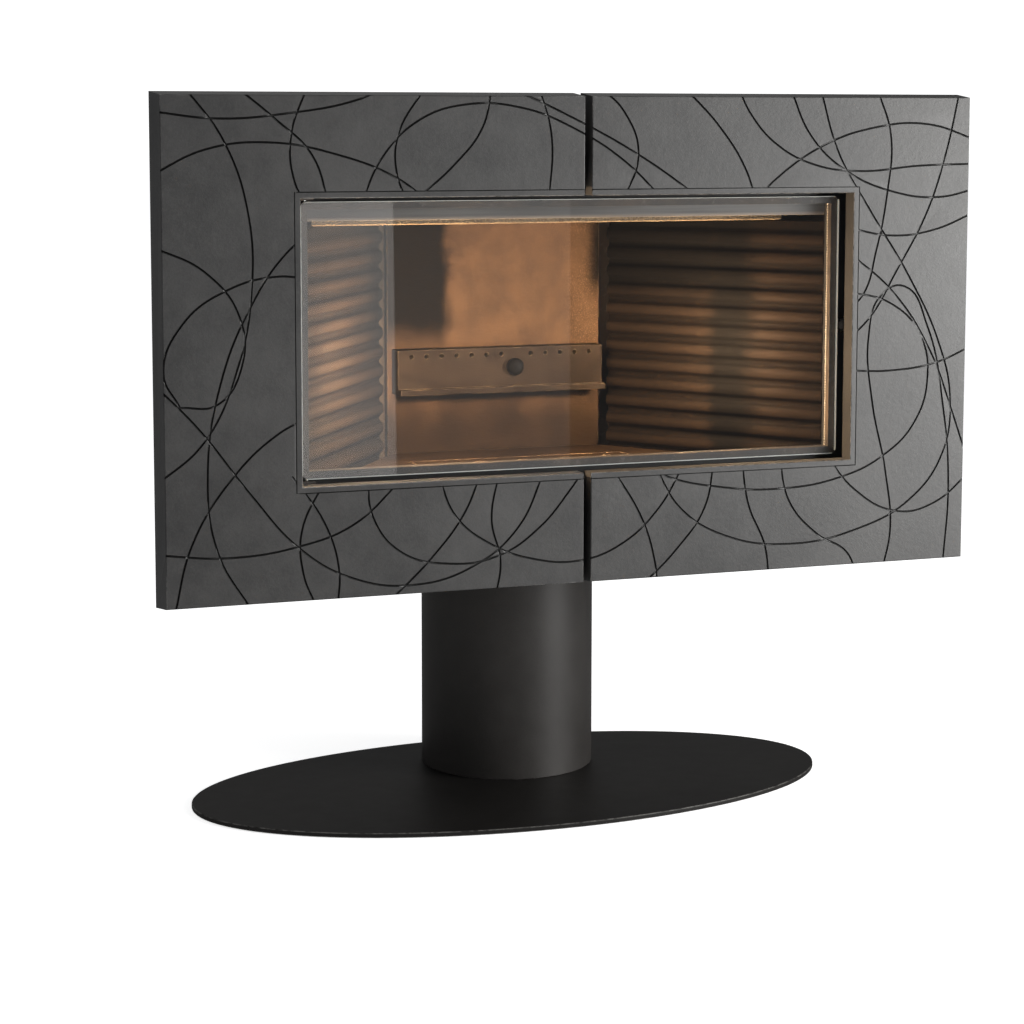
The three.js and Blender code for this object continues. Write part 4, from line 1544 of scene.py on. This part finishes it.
@dataclass
class Door(Assembly):
    """Frameless glass pane on its ring, with the rope seal, pins, brackets and strike."""

    corner_mm: float = 7.0
    seal_corner_mm: float = 4.0
    edge_mm: float = 0.8
    ring_edge_mm: float = 0.7
    seal_edge_mm: float = 1.3
    bracket_edge_mm: float = 0.6
    pin_chamfer_mm: float = 0.4
    pin_sides: int = 40

    def rounded(self, shape: Shape, radius_mm: float) -> Shape:
        """Rounds the four outer corners of a plate that stands across Y.

        Args:
            shape: the plate.
            radius_mm: the corner radius.

        Returns:
            The plate.
        """
        reach = max(abs(vert.co.x) for vert in shape.mesh.verts)

        def corner(edge: bmesh.types.BMEdge) -> bool:
            """Tells the corner edges.

            Args:
                edge: an edge of the plate.

            Returns:
                Whether it runs through the plate at its outer end.
            """
            one, other = (vert.co for vert in edge.verts)
            through = abs(one.y - other.y) > MM and abs(one.x - other.x) < 0.1 * MM
            return through and abs(abs(one.x) - reach) < 0.1 * MM

        shape.bevelled(radius_mm, 8, 60.0, corner)
        for vert in shape.mesh.verts:
            vert[shape.wear] = 0.0
        return shape

    def build(self) -> None:
        """Makes every piece of the door and its hinges."""
        pane = Shape().block(*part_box("door_glass"))
        ring, seal = Shape.copied("door_frame"), Shape.copied("door_gasket")
        for shape, name, node, corner, edge, segments in (
            (pane, "glass_pane", "door_glass", self.corner_mm, self.edge_mm, 2),
            (ring, "pane_ring", "door_frame", self.corner_mm, self.ring_edge_mm, 2),
            (seal, "rope_seal", "door_gasket", self.seal_corner_mm, self.seal_edge_mm, 3),
        ):
            self.rounded(shape, corner).bevelled(edge, segments, 60.0)
            self.stand_in(shape, name, node)
        for end in ("top", "bottom"):
            centre, radius, length = upright("hinge_pin_" + end)
            profile = rod(0, radius, length, self.pin_chamfer_mm)
            pin = Shape().turned(profile, centre, UP, self.pin_sides)
            self.stand_in(pin, "turned_pin_" + end, "hinge_pin_" + end)
            self.refine("hinge_bracket_" + end, self.bracket_edge_mm)
        self.refine("catch_strike", self.ring_edge_mm, 3)


@dataclass
class Catch(Assembly):
    """Spring roller catch that holds the door shut."""

    bore_mm: float = 1.9
    chamfer_mm: float = 0.6
    edge_mm: float = 0.5
    plunger_edge_mm: float = 0.3
    sides: int = 48

    def build(self) -> None:
        """Makes the roller, its plunger and the housing."""
        centre, radius, length = upright("catch_roller")
        profile = rod(self.bore_mm, radius, length, self.chamfer_mm)
        roller = Shape().turned(profile, centre, UP, self.sides)
        self.stand_in(roller, "turned_roller", "catch_roller")
        self.refine("catch_plunger", self.plunger_edge_mm, 2, 40.0)
        self.refine("catch_housing", self.edge_mm)


@dataclass
class AirControls(Assembly):
    """Primary air under the casing and air wash on top, each a slider with a turned knob."""

    slider_edge_mm: float = 0.3
    sides: int = 72
    outline: Sequence[Point] = (
        (0.0, 0.0), (0.62, 0.0), (0.60, 0.12), (0.78, 0.26), (0.98, 0.34), (1.0, 0.42),
        (1.0, 0.74), (0.94, 0.86), (0.72, 0.96), (0.4, 1.0), (0.0, 1.0),
    )

    def knob(self, node: str, way: float) -> None:
        """A turned knob with a waist and a domed end.

        Args:
            node: the CAD node it stands for.
            way: 1 if it stands up, -1 if it hangs.
        """
        centre, radius, height = upright(node)
        if way < 0:
            centre.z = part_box(node)[1].z
        profile = [(radius * across, height * up) for across, up in self.outline]
        shape = Shape().turned(profile, centre, UP * way, self.sides)
        self.stand_in(shape, "turned_" + node, node)

    def build(self) -> None:
        """Makes both sliders and both knobs."""
        for air in ("primary_air", "air_wash"):
            self.refine(air + "_slider", self.slider_edge_mm, 2, 40.0)
        self.knob("primary_air_knob", -1.0)
        self.knob("air_wash_knob", 1.0)


# ---------------------------------------------------------------- studio


@dataclass(frozen=True)
class Softbox:
    """A flat light: where it hangs and what it looks at in metres, its size and its power."""

    name: str
    place: Place
    target: Place
    size: Point
    watts: float


@dataclass(frozen=True)
class Glow:
    """A small warm light in the firebox."""

    name: str
    place: Place
    watts: float
    radius: float


MIDDLE = (0.0, 0.0, 0.5)
PANE = (0.0, -0.2, 0.55)
SOFTBOXES = (
    Softbox("key_right", (2.6, -1.7, 1.2), MIDDLE, (1.0, 2.0), 62.0),
    Softbox("near_right", (1.7, -1.7, 0.5), (0.4, -0.1, 0.35), (0.9, 1.0), 40.0),
    Softbox("fill_left", (-2.8, -1.6, 1.8), MIDDLE, (1.4, 1.8), 1.5),
    Softbox("top", (0.0, -0.6, 3.2), (0.0, 0.0, 0.0), (2.6, 2.0), 9.0),
    Softbox("rear", (0.6, 2.6, 2.2), MIDDLE, (2.2, 1.4), 3.0),
    Softbox("pane_card_wide", (0.78, -3.2, 0.5), PANE, (0.75, 1.2), 0.7),
    Softbox("pane_card_left", (0.58, -3.3, 0.30), PANE, (0.34, 0.8), 0.9),
)
GLOWS = (
    Glow("ember_left", (-0.185, -0.095, 0.54), 12.0, 0.02),
    Glow("ember_right", (0.185, -0.095, 0.54), 9.0, 0.02),
    Glow("flame", (0.02, -0.06, 0.58), 1.2, 0.03),
)


@dataclass
class Studio:
    """Pale floor, soft lights, the glow of the fire and the camera."""

    camera_at: Place = (-1.0767, -2.8754, 0.8238)
    camera_turn: float = 0.3521
    camera_tilt: float = 0.1080
    camera_roll: float = 0.0009
    lens_mm: float = 87.6
    sensor_mm: float = 36.0
    shift_up: float = -0.12
    floor_size: float = 60.0
    floor_front: float = 2.6
    floor_drop: float = 0.0006
    sky_lit: float = 0.45
    sky_mirrored: float = 0.12
    sky_shown: float = 1.15
    soft_white: Colour = (1.0, 0.99, 0.97)
    ember: Colour = (1.0, 0.70, 0.42)

    def floor(self) -> None:
        """The floor, just under the stove."""
        shape = Shape()
        half = self.floor_size / 2
        middle = Matrix.Translation((0, half - self.floor_front, -self.floor_drop))
        bmesh.ops.create_grid(shape.mesh, x_segments=2, y_segments=2, size=half, matrix=middle)
        made = shape.as_object("pale_floor")
        made.data.materials.append(PaleFloor("PaleFloor").material())
        made.visible_glossy = False
        log.info("pale floor")

    def lamp(self, name: str, kind: str, place: Place, watts: float) -> bpy.types.Object:
        """A light with no shape yet.

        Args:
            name: the light's name.
            kind: its type.
            place: where it hangs.
            watts: its power.

        Returns:
            The light.
        """
        light = bpy.data.lights.new(name, kind)
        light.energy = watts
        made = linked(name, light)
        made.location = place
        return made

    def hang_softbox(self, box: Softbox) -> None:
        """Hangs a softbox.

        Args:
            box: the softbox.
        """
        made = self.lamp(box.name, "AREA", box.place, box.watts)
        made.data.shape = "RECTANGLE"
        made.data.size, made.data.size_y = box.size
        made.data.color = self.soft_white
        look = Vector(box.target) - Vector(box.place)
        made.rotation_euler = look.to_track_quat("-Z", "Y").to_euler()

    def hang_glow(self, glow: Glow) -> None:
        """Hangs a warm light that only shows by what it lights.

        Args:
            glow: the light.
        """
        made = self.lamp(glow.name, "POINT", glow.place, glow.watts)
        made.data.color = self.ember
        made.data.shadow_soft_size = glow.radius
        for ray in ("camera", "transmission", "glossy"):
            setattr(made, "visible_" + ray, False)

    def sky(self) -> None:
        """White behind the stove, softer where it lights the stove, dim where it is mirrored."""
        world = bpy.data.worlds.new("studio")
        world.use_nodes = True
        tree = Tree(world.node_tree)
        path = tree.node("ShaderNodeLightPath")
        shown = self.sheet(tree, (0.97, 0.98, 1.0), self.sky_lit)
        for ray, strength in (
            ("Is Glossy Ray", self.sky_mirrored),
            ("Is Camera Ray", self.sky_shown),
        ):
            sheet = self.sheet(tree, (1.0, 1.0, 1.0), strength)
            inputs = {0: path.outputs[ray], 1: shown, 2: sheet}
            shown = tree.node("ShaderNodeMixShader", inputs=inputs).outputs[0]
        tree.node("ShaderNodeOutputWorld", inputs={0: shown})
        bpy.context.scene.world = world

    def sheet(self, tree: Tree, colour: Colour, strength: float) -> bpy.types.NodeSocket:
        """An even background in the world's tree."""
        inputs = {"Color": colour, "Strength": strength}
        return tree.node("ShaderNodeBackground", inputs=inputs).outputs[0]

    def camera(self) -> None:
        """The camera, with no depth of field."""
        data = bpy.data.cameras.new("view")
        data.lens = self.lens_mm
        data.sensor_width = self.sensor_mm
        data.shift_y = self.shift_up
        made = linked("view", data)
        turn = (
            Matrix.Rotation(-self.camera_turn, 4, "Z")
            @ Matrix.Rotation(math.pi / 2 - self.camera_tilt, 4, "X")
            @ Matrix.Rotation(self.camera_roll, 4, "Z")
        )
        made.matrix_world = Matrix.Translation(self.camera_at) @ turn
        bpy.context.scene.camera = made

    def build(self) -> None:
        """Makes the floor, the lights and the camera."""
        self.floor()
        self.sky()
        for box in SOFTBOXES:
            self.hang_softbox(box)
        for glow in GLOWS:
            self.hang_glow(glow)
        self.camera()
        bpy.context.scene.view_settings.view_transform = "Standard"


def main() -> None:
    """Builds and dresses every assembly in order."""
    logging.basicConfig(level=logging.INFO, format="%(name)s: %(message)s")
    for assembly in (
        Base(), Facade(), Casing(), Ducts(), Firebox(), Door(), Catch(), AirControls(),
    ):
        assembly.build()
        assembly.dress()
    Studio().build()


if __name__ == "__main__":
    main()
